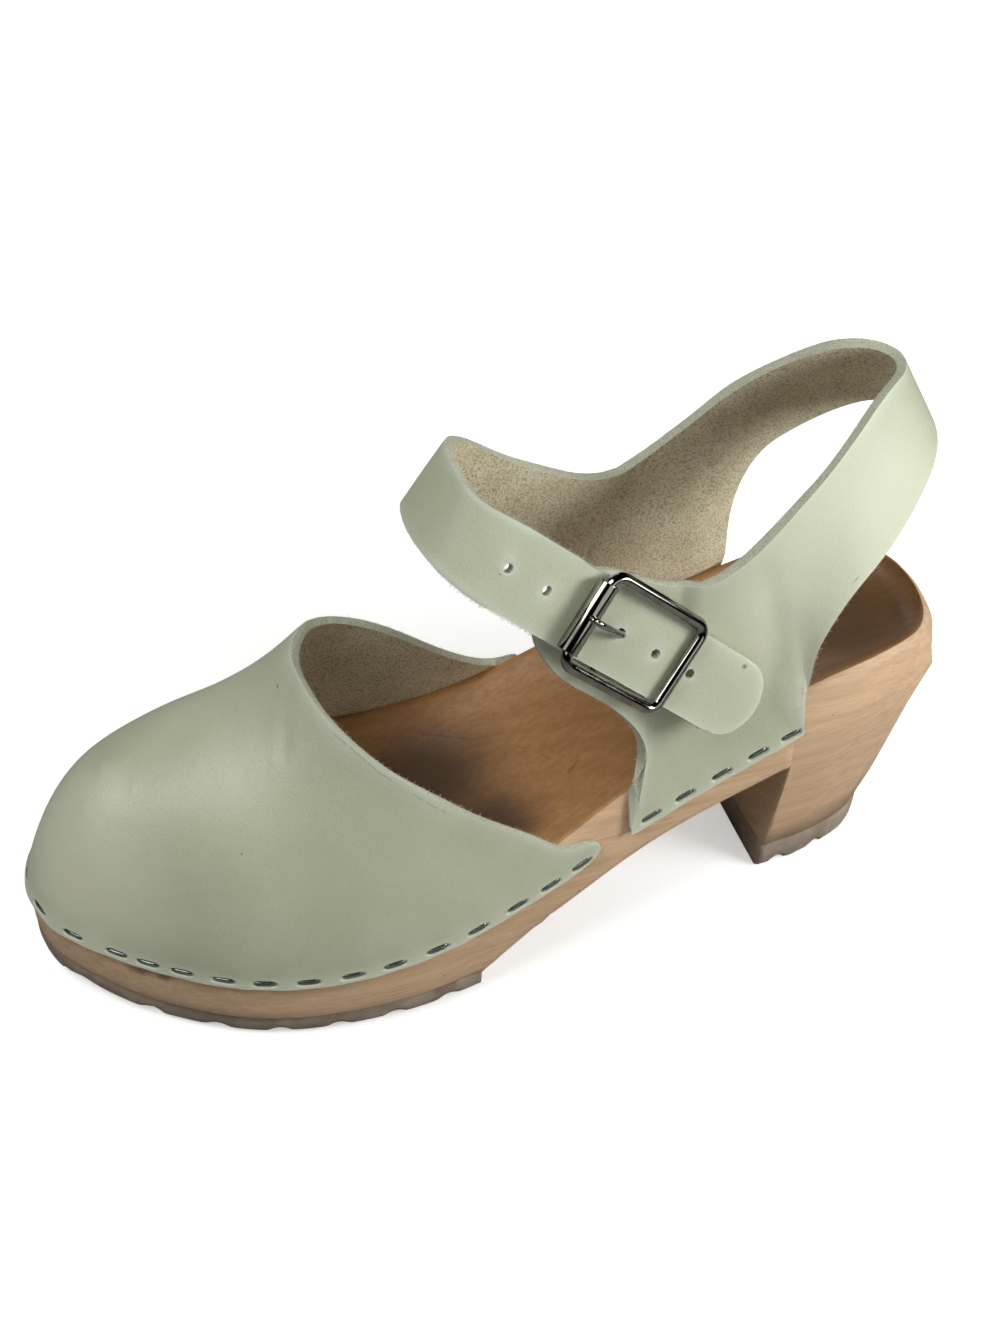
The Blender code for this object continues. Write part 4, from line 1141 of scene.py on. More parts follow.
@dataclass
class Fuzz:
    """Loose fibres along the raw edges of the leather."""

    name: str
    per_square_cm: float = 280.0
    length: float = 0.95
    staple_clear: float = 6.5
    thick: float = 0.028
    seed: int = 4

    def tree(self, cut: bpy.types.Material) -> tuple[bpy.types.NodeTree, dict[str, str]]:
        """Node tree that spreads bent fibres over faces.

        Args:
            cut: Material of the fibres.

        Returns:
            The tree, and the identifier of each named size.
        """
        tree = bpy.data.node_groups.new("edge_fuzz", "GeometryNodeTree")
        tree.interface.new_socket("Edge", in_out="INPUT", socket_type="NodeSocketGeometry")
        kinds = {"Density": "NodeSocketFloat", "Length": "NodeSocketFloat", "Thick": "NodeSocketFloat",
                 "Seed": "NodeSocketInt"}
        keys = {
            label: tree.interface.new_socket(label, in_out="INPUT", socket_type=kind).identifier
            for label, kind in kinds.items()
        }
        tree.interface.new_socket("Fuzz", in_out="OUTPUT", socket_type="NodeSocketGeometry")
        sketch = Sketch(tree)
        given = sketch.add("NodeGroupInput").outputs
        spots = sketch.add(
            "GeometryNodeDistributePointsOnFaces",
            {"Mesh": given["Edge"], "Density": given["Density"], "Seed": given["Seed"]},
        )
        length = given["Length"]
        bend = sketch.vector(X=sketch.calc("MULTIPLY", length, 0.5), Z=sketch.calc("MULTIPLY", length, 0.8))
        middle = sketch.vector(Z=sketch.calc("MULTIPLY", length, 0.55))
        strand = sketch.add(
            "GeometryNodeCurveQuadraticBezier",
            {"Resolution": 3, "Start": (0.0, 0.0, 0.0), "Middle": middle, "End": bend},
        ).outputs[0]
        section = sketch.add(
            "GeometryNodeCurvePrimitiveCircle", {"Resolution": 3, "Radius": given["Thick"]}
        ).outputs[0]
        hair = sketch.add(
            "GeometryNodeCurveToMesh", {"Curve": strand, "Profile Curve": section}
        ).outputs[0]
        lean = sketch.add(
            "FunctionNodeRandomValue",
            {0: (-1.1, -1.1, -3.1), 1: (1.1, 1.1, 3.1), "Seed": given["Seed"]},
            data_type="FLOAT_VECTOR",
        ).outputs[0]
        tilt = sketch.add("FunctionNodeEulerToRotation", {0: lean}).outputs[0]
        turn = sketch.add(
            "FunctionNodeRotateRotation", {0: spots.outputs["Rotation"], 1: tilt}, rotation_space="LOCAL"
        ).outputs[0]
        size = sketch.add(
            "FunctionNodeRandomValue", {2: 0.35, 3: 1.25, "Seed": given["Seed"]}, data_type="FLOAT"
        ).outputs[1]
        spread = sketch.add(
            "GeometryNodeInstanceOnPoints",
            {"Points": spots.outputs["Points"], "Instance": hair, "Rotation": turn, "Scale": size},
        ).outputs[0]
        real = sketch.add("GeometryNodeRealizeInstances", {0: spread}).outputs[0]
        done = sketch.add("GeometryNodeSetMaterial", {"Geometry": real, "Material": cut}).outputs[0]
        sketch.add("NodeGroupOutput", {0: done})
        return tree, keys

    def build(self, shell: bpy.types.Object, seats: list[Seat], finishes: Finishes) -> None:
        """Grows the fibres on the raw edges of one leather piece.

        Args:
            shell: The leather piece.
            seats: Staples, along which the edge lies flat and has no fibres.
            finishes: Materials of the clog.
        """
        near = seat_finder(seats)
        clear = self.staple_clear * MM
        work = bmesh.new()
        work.from_mesh(shell.data)
        cut = {item for item in work.faces if item.material_index == Side.CUT.value}
        free = {item for item in cut if near.find(item.calc_center_median())[2] > clear}
        other = [item for item in work.faces if item not in free]
        bmesh.ops.delete(work, geom=other, context="FACES")
        piece = piece_from(work, self.name, finishes.cut)
        tree, keys = self.tree(finishes.cut)
        grow = piece.modifiers.new("edge_fuzz", "NODES")
        grow.node_group = tree
        grow[keys["Density"]] = self.per_square_cm * 1e4
        grow[keys["Length"]] = self.length * MM
        grow[keys["Thick"]] = self.thick * MM
        grow[keys["Seed"]] = self.seed
        settle(piece)
        finish_piece(piece, Slot.LEATHER)


@dataclass(frozen=True)
class Fold:
    """Soft trough, or ridge where the depth is negative, along a line on the leather."""

    line: tuple[Point, ...]
    width: float
    depth: float
    shoulder_place: float = 2.2
    shoulder_share: float = 0.3

    def moves(self, points: np.ndarray) -> np.ndarray:
        """How far each point sinks.

        Args:
            points: Points of the leather in millimetres.

        Returns:
            One way in millimetres for each point.
        """
        best = np.full(len(points), 1e9)
        for start, end in zip(self.line[:-1], self.line[1:]):
            a, b = np.array(start), np.array(end)
            share = np.clip((points - a) @ (b - a) / ((b - a) @ (b - a)), 0.0, 1.0)
            best = np.minimum(best, np.linalg.norm(points - a - share[:, None] * (b - a), axis=1))
        trough = np.exp(-((best / self.width) ** 2))
        shoulder = np.exp(-(((best - self.shoulder_place * self.width) / self.width) ** 2))
        return self.depth * (trough - self.shoulder_share * shoulder)


VAMP_FOLDS = (
    Fold(
        ((51.7, -11.5, 86.2), (53.6, -5.8, 84.0), (55.9, 0.1, 80.6), (58.0, 6.2, 77.4), (59.4, 9.9, 74.6)),
        1.2, 0.22,
    ),
    Fold(
        ((47.0, 12.2, 82.9), (42.6, 18.8, 80.9), (34.1, 27.7, 75.5), (22.0, 32.8, 66.1), (5.1, 35.7, 52.7)),
        0.8, 0.15,
    ),
)
STRAP_FOLDS = (
    Fold(((-0.4, 28.5, 120.3), (-11.9, 22.2, 132.7)), 2.4, 0.2),
    Fold(((23.6, 3.4, 143.5), (18.6, 4.7, 150.6)), 3.0, 0.22),
    Fold(((-57.0, 25.3, 122.0), (-61.0, 25.6, 112.0), (-66.0, 26.2, 103.0)), 4.5, 0.28),
    Fold(((-48.0, 29.0, 84.0), (-55.0, 28.8, 90.0)), 4.0, 0.2),
)
VAMP_CALM = (((97.2, -8.8, 65.4), 16.0),)
STRAP_CALM = (((-30.0, 30.6, 63.5), 8.0), ((-75.7, 28.6, 80.0), 12.0))


@dataclass
class LeatherShell:
    """A cut and moulded piece of thick leather."""

    node: str
    middle: Point
    seats: list[Seat]
    folds: tuple[Fold, ...] = ()
    calm: tuple[tuple[Point, float], ...] = ()
    levels: int = 2
    crispness: float = 0.86
    longest_edge: float = 2.4
    cut_rounds: int = 6
    staple_cuts: int = 3
    pinhole: float = 2e-6
    pinhole_weld: float = 1.2
    weld: float = 0.45
    side_turn: float = math.radians(32)
    press_reach: float = 7.0
    skin: tuple[float, float] = (-2.0, -0.9)
    slot_length: float = 2.6
    slot_width: float = 0.45
    slot_depth: float = 1.0
    slot_slope: float = 0.55
    pinch_length: float = 5.0
    pinch_width: float = 4.0
    pinch_depth: float = 0.45
    lip_place: float = 0.9
    lip_width: float = 0.5
    lip_height: float = 0.04
    swell: float = 0.12
    swell_length: float = 26.0
    swell_seed: int = 5
    edge_fade: float = 1.4
    relax_steps: tuple[float, float] = (0.5, -0.52)
    relax_rounds: int = 60
    corner_turn: float = 0.45

    def sorted_mesh(self) -> bmesh.types.BMesh:
        """Copies the CAD mesh and tells grain, flesh and cut faces apart.

        Returns:
            The mesh, with a material slot for each side.
        """
        work = merged(self.node)
        bmesh.ops.remove_doubles(work, verts=work.verts, dist=self.weld * MM)
        tiny = [island for island in islands(work, self.side_turn) if area_of(island) < self.pinhole]
        loose = {vert for island in tiny for item in island for vert in item.verts}
        bmesh.ops.remove_doubles(work, verts=list(loose), dist=self.pinhole_weld * MM)
        work.normal_update()
        parts = islands(work, self.side_turn)
        middle = Vector(self.middle) * MM
        for item in work.faces:
            item.material_index = Side.CUT.value
        for island in parts[:2]:
            facing = sum(
                (item.calc_center_median() - middle).dot(item.normal) * item.calc_area() for item in island
            )
            side = Side.GRAIN if facing > 0 else Side.FLESH
            for item in island:
                item.material_index = side.value
        self.relay(work)
        crease_lines(work, self.crispness)
        return work

    def relay(self, work: bmesh.types.BMesh) -> None:
        """Gives flat parts an even mesh; a shell that is curved all over has none."""

    def cut_finer(self, work: bmesh.types.BMesh) -> None:
        """Divides the long edges that flat parts keep, and marks the rim lines sharp.

        Args:
            work: The mesh.
        """
        for _ in range(self.cut_rounds):
            long = [edge for edge in work.edges if edge.calc_length() > self.longest_edge * MM]
            if not long:
                break
            bmesh.ops.subdivide_edges(work, edges=long, cuts=1)
            bmesh.ops.triangulate(work, faces=[item for item in work.faces if len(item.verts) > 4])
        for edge in work.edges:
            if len({item.material_index for item in edge.link_faces}) > 1:
                edge.smooth = False

    def relax(self, mesh: bpy.types.Mesh) -> None:
        """Evens out the small waves that the first triangles leave; corners stay where they are.

        Args:
            mesh: The mesh.
        """
        line = border_lines(mesh)
        points = points_of(mesh)
        calm = np.zeros(len(points))
        for place, reach in self.calm:
            far = np.linalg.norm(points - np.array(place), axis=1)
            calm = np.maximum(calm, 1 - smooth_step(far, 0.0, reach))
        free = np.where(turns_of(mesh, line) < self.corner_turn, 1.0, calm)
        for step in self.relax_steps * self.relax_rounds:
            share = free * (step + calm * (self.relax_steps[0] - step))
            points += share[:, None] * pulls_of(mesh, points, line)
        move_points(mesh, points)

    def refine_at_staples(self, piece: bpy.types.Object) -> None:
        """Cuts the grain side finer where staples press into it.

        Args:
            piece: The leather piece.
        """
        work = bmesh.new()
        work.from_mesh(piece.data)
        near = seat_finder(self.seats)
        grain = [item for item in work.faces if item.material_index == Side.GRAIN.value]
        reach = self.press_reach * MM
        close = [item for item in grain if near.find(item.calc_center_median())[2] < reach]
        edges = list({edge for item in close for edge in item.edges})
        bmesh.ops.subdivide_edges(work, edges=edges, cuts=self.staple_cuts, use_grid_fill=True)
        self.cut_finer(work)
        work.to_mesh(piece.data)
        work.free()

    def press_staples(self, points: np.ndarray) -> tuple[np.ndarray, np.ndarray, np.ndarray]:
        """Presses a slot with raised lips into the leather for each staple.

        Args:
            points: Vertices in millimetres.

        Returns:
            The moved vertices, the mask of the slots and the mask of the lips.
        """
        moved = points.copy()
        slots = np.zeros(len(points))
        lips = np.zeros(len(points))
        for seat in self.seats:
            away = points - seat.centre
            near = np.flatnonzero(np.linalg.norm(away, axis=1) < 2 * self.press_reach)
            u = abs(away[near] @ seat.along)
            v = abs(away[near] @ seat.across)
            skin = smooth_step(away[near] @ seat.out, *self.skin)
            lens = self.slot_width * np.clip(1.5 - (u / self.slot_length) ** 2, 0.4, 1.0)
            past_u = np.maximum(u - self.slot_length, 0.0)
            past_v = np.maximum(v - lens, 0.0)
            past = np.hypot(past_u, past_v)
            slot = (1 - smooth_step(past, 0.0, self.slot_slope)) * skin
            lip = np.exp(-(((past - self.lip_place) / self.lip_width) ** 2)) * skin
            pinch = np.exp(-((u / self.pinch_length) ** 2) - (v / self.pinch_width) ** 2) * skin
            rise = self.lip_height * lip - self.slot_depth * slot - self.pinch_depth * pinch
            moved[near] += rise[:, None] * seat.out
            slots[near] = np.maximum(slots[near], slot)
            lips[near] = np.maximum(lips[near], lip)
        return moved, slots, lips

    def build(self, finishes: Finishes) -> bpy.types.Object:
        """Makes the piece.

        Args:
            finishes: Materials of the clog.

        Returns:
            The leather piece.
        """
        name = f"{self.node}_leather"
        piece = piece_from(self.sorted_mesh(), name, finishes.grain, finishes.suede, finishes.cut)
        rounded(piece, self.levels)
        self.relax(piece.data)
        self.refine_at_staples(piece)
        mesh = piece.data
        points, normals = points_of(mesh), normals_of(mesh)
        points, slots, lips = self.press_staples(points)
        for fold in self.folds:
            points -= normals * fold.moves(points)[:, None]
        points += normals * (self.swell * ripple(points, self.swell_length, self.swell_seed))[:, None]
        move_points(mesh, points)
        # The slot mask is where the grain finish paints shade into the staple slots.
        write_mask(mesh, "press", slots)
        write_mask(mesh, "lip", lips)
        write_mask(mesh, "edge", self.closeness(mesh, points))
        finish_piece(piece, Slot.LEATHER, self.node)
        return piece

    def closeness(self, mesh: bpy.types.Mesh, points: np.ndarray) -> np.ndarray:
        """Mask that is 1 on the raw edge and fades away from it.

        Args:
            mesh: The mesh.
            points: Its vertices in millimetres.

        Returns:
            One value for each vertex.
        """
        cut = (item for item in mesh.polygons if item.material_index == Side.CUT.value)
        rim = {index for item in cut for index in item.vertices}
        tree = KDTree(len(rim))
        for index in rim:
            tree.insert(Vector(points[index]), index)
        tree.balance()
        far = np.array([tree.find(Vector(point))[2] for point in points])
        return np.exp(-far / self.edge_fade)


@dataclass
class StrapShell(LeatherShell):
    """Back piece of leather, whose front strap lies flat under the buckle."""

    strap_from: float = -34.6
    face: float = 1.3
    mesh_step: float = 2.6
    rim_step: float = 3.0
    clear: float = 1.1
    flatness: float = 0.05
    hole_radius: float = 1.3
    holes: tuple[float, ...] = (-38.5, -26.4, -14.3, -2.2, 9.9, 22.0)

    def local(self, vert: bmesh.types.BMVert) -> np.ndarray:
        """Place of a vertex in the buckle's axes.

        Args:
            vert: The vertex.

        Returns:
            The place in millimetres: along, across and out.
        """
        buckle = Buckle()
        axes = np.array((buckle.along, buckle.across, buckle.out))
        return axes @ (np.array(vert.co) / MM - np.array(buckle.centre))

    def on_strap(self, verts: Iterable[bmesh.types.BMVert], level: float) -> bool:
        """Whether vertices lie on the flat strap at one height over its middle."""
        places = np.array([self.local(vert) for vert in verts])
        flat = abs(places[:, 2] - level).max() < self.flatness
        return bool(flat and places[:, 0].min() > self.strap_from)

    def relay(self, work: bmesh.types.BMesh) -> None:
        """Gives both faces of the flat strap an even mesh in place of its long triangles.

        Args:
            work: The mesh.
        """
        levels = {Side.GRAIN: self.face, Side.FLESH: -self.face}
        long: dict[int, list[bmesh.types.BMEdge]] = {}
        for edge in filter(is_line, work.edges):
            cuts = int(edge.calc_length() / (self.rim_step * MM))
            if cuts and any(self.on_strap(edge.verts, level) for level in levels.values()):
                long.setdefault(cuts, []).append(edge)
        for cuts, edges in long.items():
            bmesh.ops.subdivide_edges(work, edges=edges, cuts=cuts)
        for side, level in levels.items():
            self.relay_face(work, side, level)

    def relay_face(self, work: bmesh.types.BMesh, side: Side, level: float) -> None:
        """Gives one face of the flat strap an even mesh.

        Args:
            work: The mesh.
            side: Side of the leather.
            level: Height of the face over the strap's middle.
        """
        buckle = Buckle()
        old = {item for item in work.faces if self.on_strap(item.verts, level)}
        sides = (edge for item in old for edge in item.edges)
        rim = [edge for edge in sides if sum(other in old for other in edge.link_faces) == 1]
        verts = list(dict.fromkeys(vert for edge in rim for vert in edge.verts))
        number = {vert: index for index, vert in enumerate(verts)}
        flat = np.array([self.local(vert)[:2] for vert in verts])
        low, high = flat.min(axis=0), flat.max(axis=0)
        steps = [np.arange(low[k] + self.clear, high[k], self.mesh_step) for k in (0, 1)]
        grid = np.array([(along, across) for along in steps[0] for across in steps[1]])
        gaps = np.linalg.norm(grid[:, None] - flat[None], axis=2).min(axis=1)
        grid = grid[gaps > self.clear]
        edges = [(number[edge.verts[0]], number[edge.verts[1]]) for edge in rim]
        places = [Vector(point) for point in np.vstack((flat, grid))]
        found = delaunay_2d_cdt(places, edges, [], DELAUNAY_OUTPUT, DELAUNAY_NEAR)
        bmesh.ops.delete(work, geom=list(old), context="FACES_KEEP_BOUNDARY")
        corners = []
        for place, sources in zip(found[0], found[3]):
            known = [source for source in sources if source < len(verts)]
            point = buckle.at(place[0], place[1], level) * MM
            corners.append(verts[known[0]] if known else work.verts.new(point))
        fresh = []
        for triangle in found[2]:
            along, across = np.mean([found[0][index] for index in triangle], axis=0)
            if min(math.hypot(along - hole, across) for hole in self.holes) < self.hole_radius:
                continue
            order = triangle if side is Side.GRAIN else triangle[::-1]
            item = work.faces.new([corners[index] for index in order])
            item.material_index = side.value
            item.smooth = True
            fresh.append(item)
        bmesh.ops.delete(work, geom=[vert for vert in corners if not vert.link_faces], context="VERTS")
        bmesh.ops.join_triangles(
            work, faces=fresh, angle_face_threshold=PAIR_ANGLE, angle_shape_threshold=PAIR_SHAPE
        )
        work.normal_update()


@dataclass
class Sole:
    """Wooden sole with the rubber under its front and heel."""

    levels: int = 2
    crispness: float = 0.8
    ridge_crispness: float = 0.7
    ridge_turn: float = 0.16
    ridge_slope: float = 0.5
    top_tilt: float = 0.8
    top_count: int = 2
    underside: float = -0.7
    plane_full: float = 59.0
    plane_end: float = 63.0
    back_start: float = 88.0
    back_full: float = 98.0
    plane_share: float = 0.5
    plane_rounds: int = 60

    def crease_ridge(self, work: bmesh.types.BMesh) -> None:
        """Keeps the ridge round the sole, where its side turns into the sloped land.

        Args:
            work: The mesh, with its crease layer.
        """
        layer = work.edges.layers.float["crease_edge"]
        for edge in (edge for edge in work.edges if len(edge.link_faces) == 2):
            low, high = sorted(item.normal.z for item in edge.link_faces)
            rise = abs(edge.verts[0].co.z - edge.verts[1].co.z)
            level = rise < self.ridge_slope * edge.calc_length()
            turned = self.ridge_turn < high - low < 4 * self.ridge_turn
            if level and turned and abs(low) < self.ridge_turn:
                edge[layer] = max(edge[layer], self.ridge_crispness)

    def plane_heel(self, mesh: bpy.types.Mesh) -> None:
        """Evens out the back of the heel, where the rings of the first mesh crowd together.

        Args:
            mesh: The mesh.
        """
        points = points_of(mesh)
        line = border_lines(mesh, self.underside)
        below = 1 - smooth_step(points[:, 2], self.plane_full, self.plane_end)
        back = smooth_step(-points[:, 0], self.back_start, self.back_full)
        share = self.plane_share * below * back
        for _ in range(self.plane_rounds):
            points += share[:, None] * pulls_of(mesh, points, line)
        move_points(mesh, points)

    def build(self, finishes: Finishes) -> None:
        """Makes the wood and both rubber pieces.

        Args:
            finishes: Materials of the clog.
        """
        work = merged("wood_sole")
        for number, island in enumerate(islands(work, SHARP_EDGE)):
            tilt = sum(item.normal.z * item.calc_area() for item in island) / area_of(island)
            zone = Zone.TOP if tilt > self.top_tilt and number < self.top_count else Zone.WALL
            for item in island:
                item.material_index = zone.value
        crease_lines(work, self.crispness)
        self.crease_ridge(work)
        wood = piece_from(work, "wood_sole_carved", finishes.bed, finishes.wall)
        rounded(wood, self.levels, holds=2)
        self.plane_heel(wood.data)
        finish_piece(wood, Slot.WOOD, "wood_sole")
        for node in ("forefoot_tread", "heel_lift"):
            work = merged(node)
            crease_lines(work, self.crispness)
            rubber = piece_from(work, f"{node}_rubber", finishes.rubber)
            rounded(rubber, self.levels)
            finish_piece(rubber, Slot.RUBBER, node)


def join_rings(work: bmesh.types.BMesh, rings: list[list[bmesh.types.BMVert]], closed: bool) -> None:
    """Makes the faces between rings of vertices.

    Args:
        work: The mesh.
        rings: Rings of equal size, in order.
        closed: Whether the last ring joins the first.
    """
    ahead = rings[1:] + rings[:1] if closed else rings[1:]
    for here, there in zip(rings, ahead):
        for corners in zip(here, here[1:] + here[:1], there[1:] + there[:1], there):
            work.faces.new(corners).smooth = True


def sweep(
    path: np.ndarray, radii: np.ndarray, sides: int, closed: bool = False, square: float = 2.0
) -> bmesh.types.BMesh:
    """Wire along a path.

    Args:
        path: Points of its middle in millimetres.
        radii: Radius at each point.
        sides: Points round the wire.
        closed: Whether the last point joins the first.
        square: 2 for a round wire, more for a squarer one.

    Returns:
        The mesh of the wire, with closed ends.
    """
    work = bmesh.new()
    ahead = np.roll(path, -1, axis=0) - np.roll(path, 1, axis=0)
    if not closed:
        ahead[0], ahead[-1] = path[1] - path[0], path[-1] - path[-2]
    ahead /= np.linalg.norm(ahead, axis=1)[:, None]
    side = np.cross(ahead[0], OFF_AXIS)
    rings = []
    angles = np.linspace(0, 2 * math.pi, sides, endpoint=False)
    cos, sin = np.cos(angles), np.sin(angles)
    swell = (abs(cos) ** square + abs(sin) ** square) ** (-1 / square)
    for middle, way, radius in zip(path, ahead, radii):
        side = side - way * (side @ way)
        side /= np.linalg.norm(side)
        over = np.cross(way, side)
        ring = middle + radius * ((swell * cos)[:, None] * side + (swell * sin)[:, None] * over)
        rings.append([work.verts.new(point * MM) for point in ring])
    join_rings(work, rings, closed)
    if not closed:
        work.faces.new(rings[0][::-1])
        work.faces.new(rings[-1])
    bmesh.ops.recalc_face_normals(work, faces=work.faces)
    return work


def spline(points: np.ndarray, steps: int) -> np.ndarray:
    """Smooth path through points.

    Args:
        points: The points, in order.
        steps: Steps to each span between two points.

    Returns:
        Points of the path.
    """
    padded = np.vstack((2 * points[0] - points[1], points, 2 * points[-1] - points[-2]))
    path = []
    for a, b, c, d in zip(padded[:-3], padded[1:-2], padded[2:-1], padded[3:]):
        second = 2 * a - 5 * b + 4 * c - d
        third = 3 * b - a - 3 * c + d
        for t in np.arange(steps) / steps:
            path.append(0.5 * (2 * b + (c - a) * t + second * t**2 + third * t**3))
    path.append(points[-1])
    return np.array(path)


@dataclass
class Buckle:
    """Roller buckle on the ankle strap, with its prong, chape and rivet."""

    centre: Point = (-20.5447, 27.5773, 114.2185)
    along: Point = (-0.76354414, 0.17879133, -0.62051108)
    across: Point = (-0.63856147, -0.35208244, 0.68430782)
    out: Point = (-0.09612275, 0.9187337, 0.38299974)
    front: float = -14.3
    rear: float = 17.3
    half_width: float = 12.1
    aside: float = -0.3
    corner: float = 3.2
    corner_steps: int = 9
    wire: float = 1.45
    wire_square: float = 2.5
    front_out: float = 4.35
    rear_out: float = 3.05
    bar_out: float = -3.7
    bar_wire: float = 1.0
    bar_bend: float = 1.2
    roller: float = 2.75
    roller_half: float = 9.35
    roller_bore: float = 2.35
    roller_slack: float = 0.6
    prong: float = 0.85
    prong_hole: float = -2.2
    prong_gap: float = 0.3
    strap_face: float = 1.3
    chape_crispness: float = 0.9
    rivet_crispness: float = 0.55

    def at(self, along: float, across: float, out: float) -> np.ndarray:
        """Point in the buckle's own axes, in millimetres."""
        axes = np.array((self.along, self.across, self.out))
        return np.array(self.centre) + np.array((along, across, out)) @ axes

    def lift(self, along: float) -> float:
        """Height of the frame's wire over the middle of the strap."""
        share = (along - self.front) / (self.rear - self.front)
        return self.front_out + share * (self.rear_out - self.front_out)

    def frame_path(self) -> np.ndarray:
        """Rectangle with round corners.

        Returns:
            Points of the wire's middle in millimetres.
        """
        path = []
        for end, side, turn in ((1, 1, 0), (0, 1, 90), (0, -1, 180), (1, -1, 270)):
            edge = self.rear if end else self.front
            bend_along = edge - math.copysign(self.corner, edge)
            bend_across = self.aside + side * (self.half_width - self.corner)
            for k in range(self.corner_steps):
                angle = math.radians(turn + 90 * k / (self.corner_steps - 1))
                along = bend_along + self.corner * math.cos(angle)
                across = bend_across + self.corner * math.sin(angle)
                path.append(self.at(along, across, self.lift(along)))
        return np.array(path)

    def build_frame(self, finishes: Finishes) -> None:
        """Wire frame and the centre bar that drops below the strap.

        Args:
            finishes: Materials of the clog.
        """
        path = self.frame_path()
        work = sweep(path, np.full(len(path), self.wire), 20, closed=True, square=self.wire_square)
        half = [
            (self.half_width, self.lift(0)), (self.half_width, self.bar_out + self.bar_bend),
            (self.half_width - 0.4 * self.bar_bend, self.bar_out + 0.4 * self.bar_bend),
            (self.half_width - self.bar_bend, self.bar_out),
        ]
        drop = [self.at(0, self.aside + across, out) for across, out in half]
        drop += [self.at(0, self.aside - across, out) for across, out in reversed(half)]
        bar = sweep(np.array(drop), np.full(len(drop), self.bar_wire), 14)
        extra = bpy.data.meshes.new("centre_bar")
        bar.to_mesh(extra)
        bar.free()
        work.from_mesh(extra)
        bpy.data.meshes.remove(extra)
        wire = piece_from(work, "buckle_frame_wire", finishes.nickel)
        finish_piece(wire, Slot.NICKEL, "buckle_frame")

    def build_roller(self, finishes: Finishes) -> None:
        """Rolled sleeve on the front bar, with turned-in ends.

        Args:
            finishes: Materials of the clog.
        """
        half, outer, inner = self.roller_half, self.roller, self.roller_bore
        profile = [
            (-half + 0.3, inner), (-half, inner + 0.08), (-half, outer - 0.12),
            (-half + 0.06, outer - 0.03), (-half + 0.2, outer), (0.0, outer),
        ]
        profile += [(-across, radius) for across, radius in reversed(profile[:-1])]
        work = bmesh.new()
        sides = 40
        rings = []
        for across, radius in profile:
            ring = []
            for k in range(sides):
                angle = 2 * math.pi * k / sides
                along = self.front - self.roller_slack + radius * math.cos(angle)
                point = self.at(along, self.aside + across, self.front_out + radius * math.sin(angle))
                ring.append(work.verts.new(point * MM))
            rings.append(ring)
        join_rings(work, rings, closed=True)
        bmesh.ops.recalc_face_normals(work, faces=work.faces)
        sleeve = piece_from(work, "buckle_roller_sleeve", finishes.nickel)
        finish_piece(sleeve, Slot.NICKEL, "buckle_roller")

    def build_prong(self, finishes: Finishes) -> None:
        """Bent wire from the centre bar through a hole to the roller.

        Args:
            finishes: Materials of the clog.
        """
        face, hole, tip = self.strap_face, self.prong_hole, self.front - self.roller_slack
        rest = self.front_out + self.roller + self.prong_gap + self.prong
        stem = [
            (hole + 0.9, self.bar_out - 1.2), (hole, self.bar_out), (hole, face + 0.4),
            (hole - 0.7, face + 1.7), (hole - 2.2, face + 2.7), (tip + 2.6, rest), (tip - 0.2, rest),
            (tip - 1.6, rest - 0.25),
        ]
        path = spline(np.array([self.at(along, 0, out) for along, out in stem]), 5)
        radii = np.full(len(path), self.prong)
        radii[-6:] *= np.array((1.0, 0.98, 0.93, 0.84, 0.66, 0.3))
        work = sweep(path, radii, 16)
        prong = piece_from(work, "buckle_prong_wire", finishes.nickel)
        finish_piece(prong, Slot.NICKEL, "buckle_prong")

    def build(self, finishes: Finishes) -> None:
        """Makes every piece of the buckle.

        Args:
            finishes: Materials of the clog.
        """
        self.build_frame(finishes)
        self.build_roller(finishes)
        self.build_prong(finishes)
        work = merged("buckle_chape")
        crease_lines(work, self.chape_crispness)
        chape = piece_from(work, "buckle_chape_leather", finishes.grain)
        rounded(chape, 1)
        for mask in ("press", "lip", "edge"):
            write_mask(chape.data, mask, np.zeros(len(chape.data.vertices)))
        finish_piece(chape, Slot.LEATHER, "buckle_chape")
        work = merged("rivet")
        crease_lines(work, self.rivet_crispness)
        rivet = piece_from(work, "rivet_brass", finishes.brass)
        rounded(rivet, 2)
        finish_piece(rivet, Slot.BRASS, "rivet")


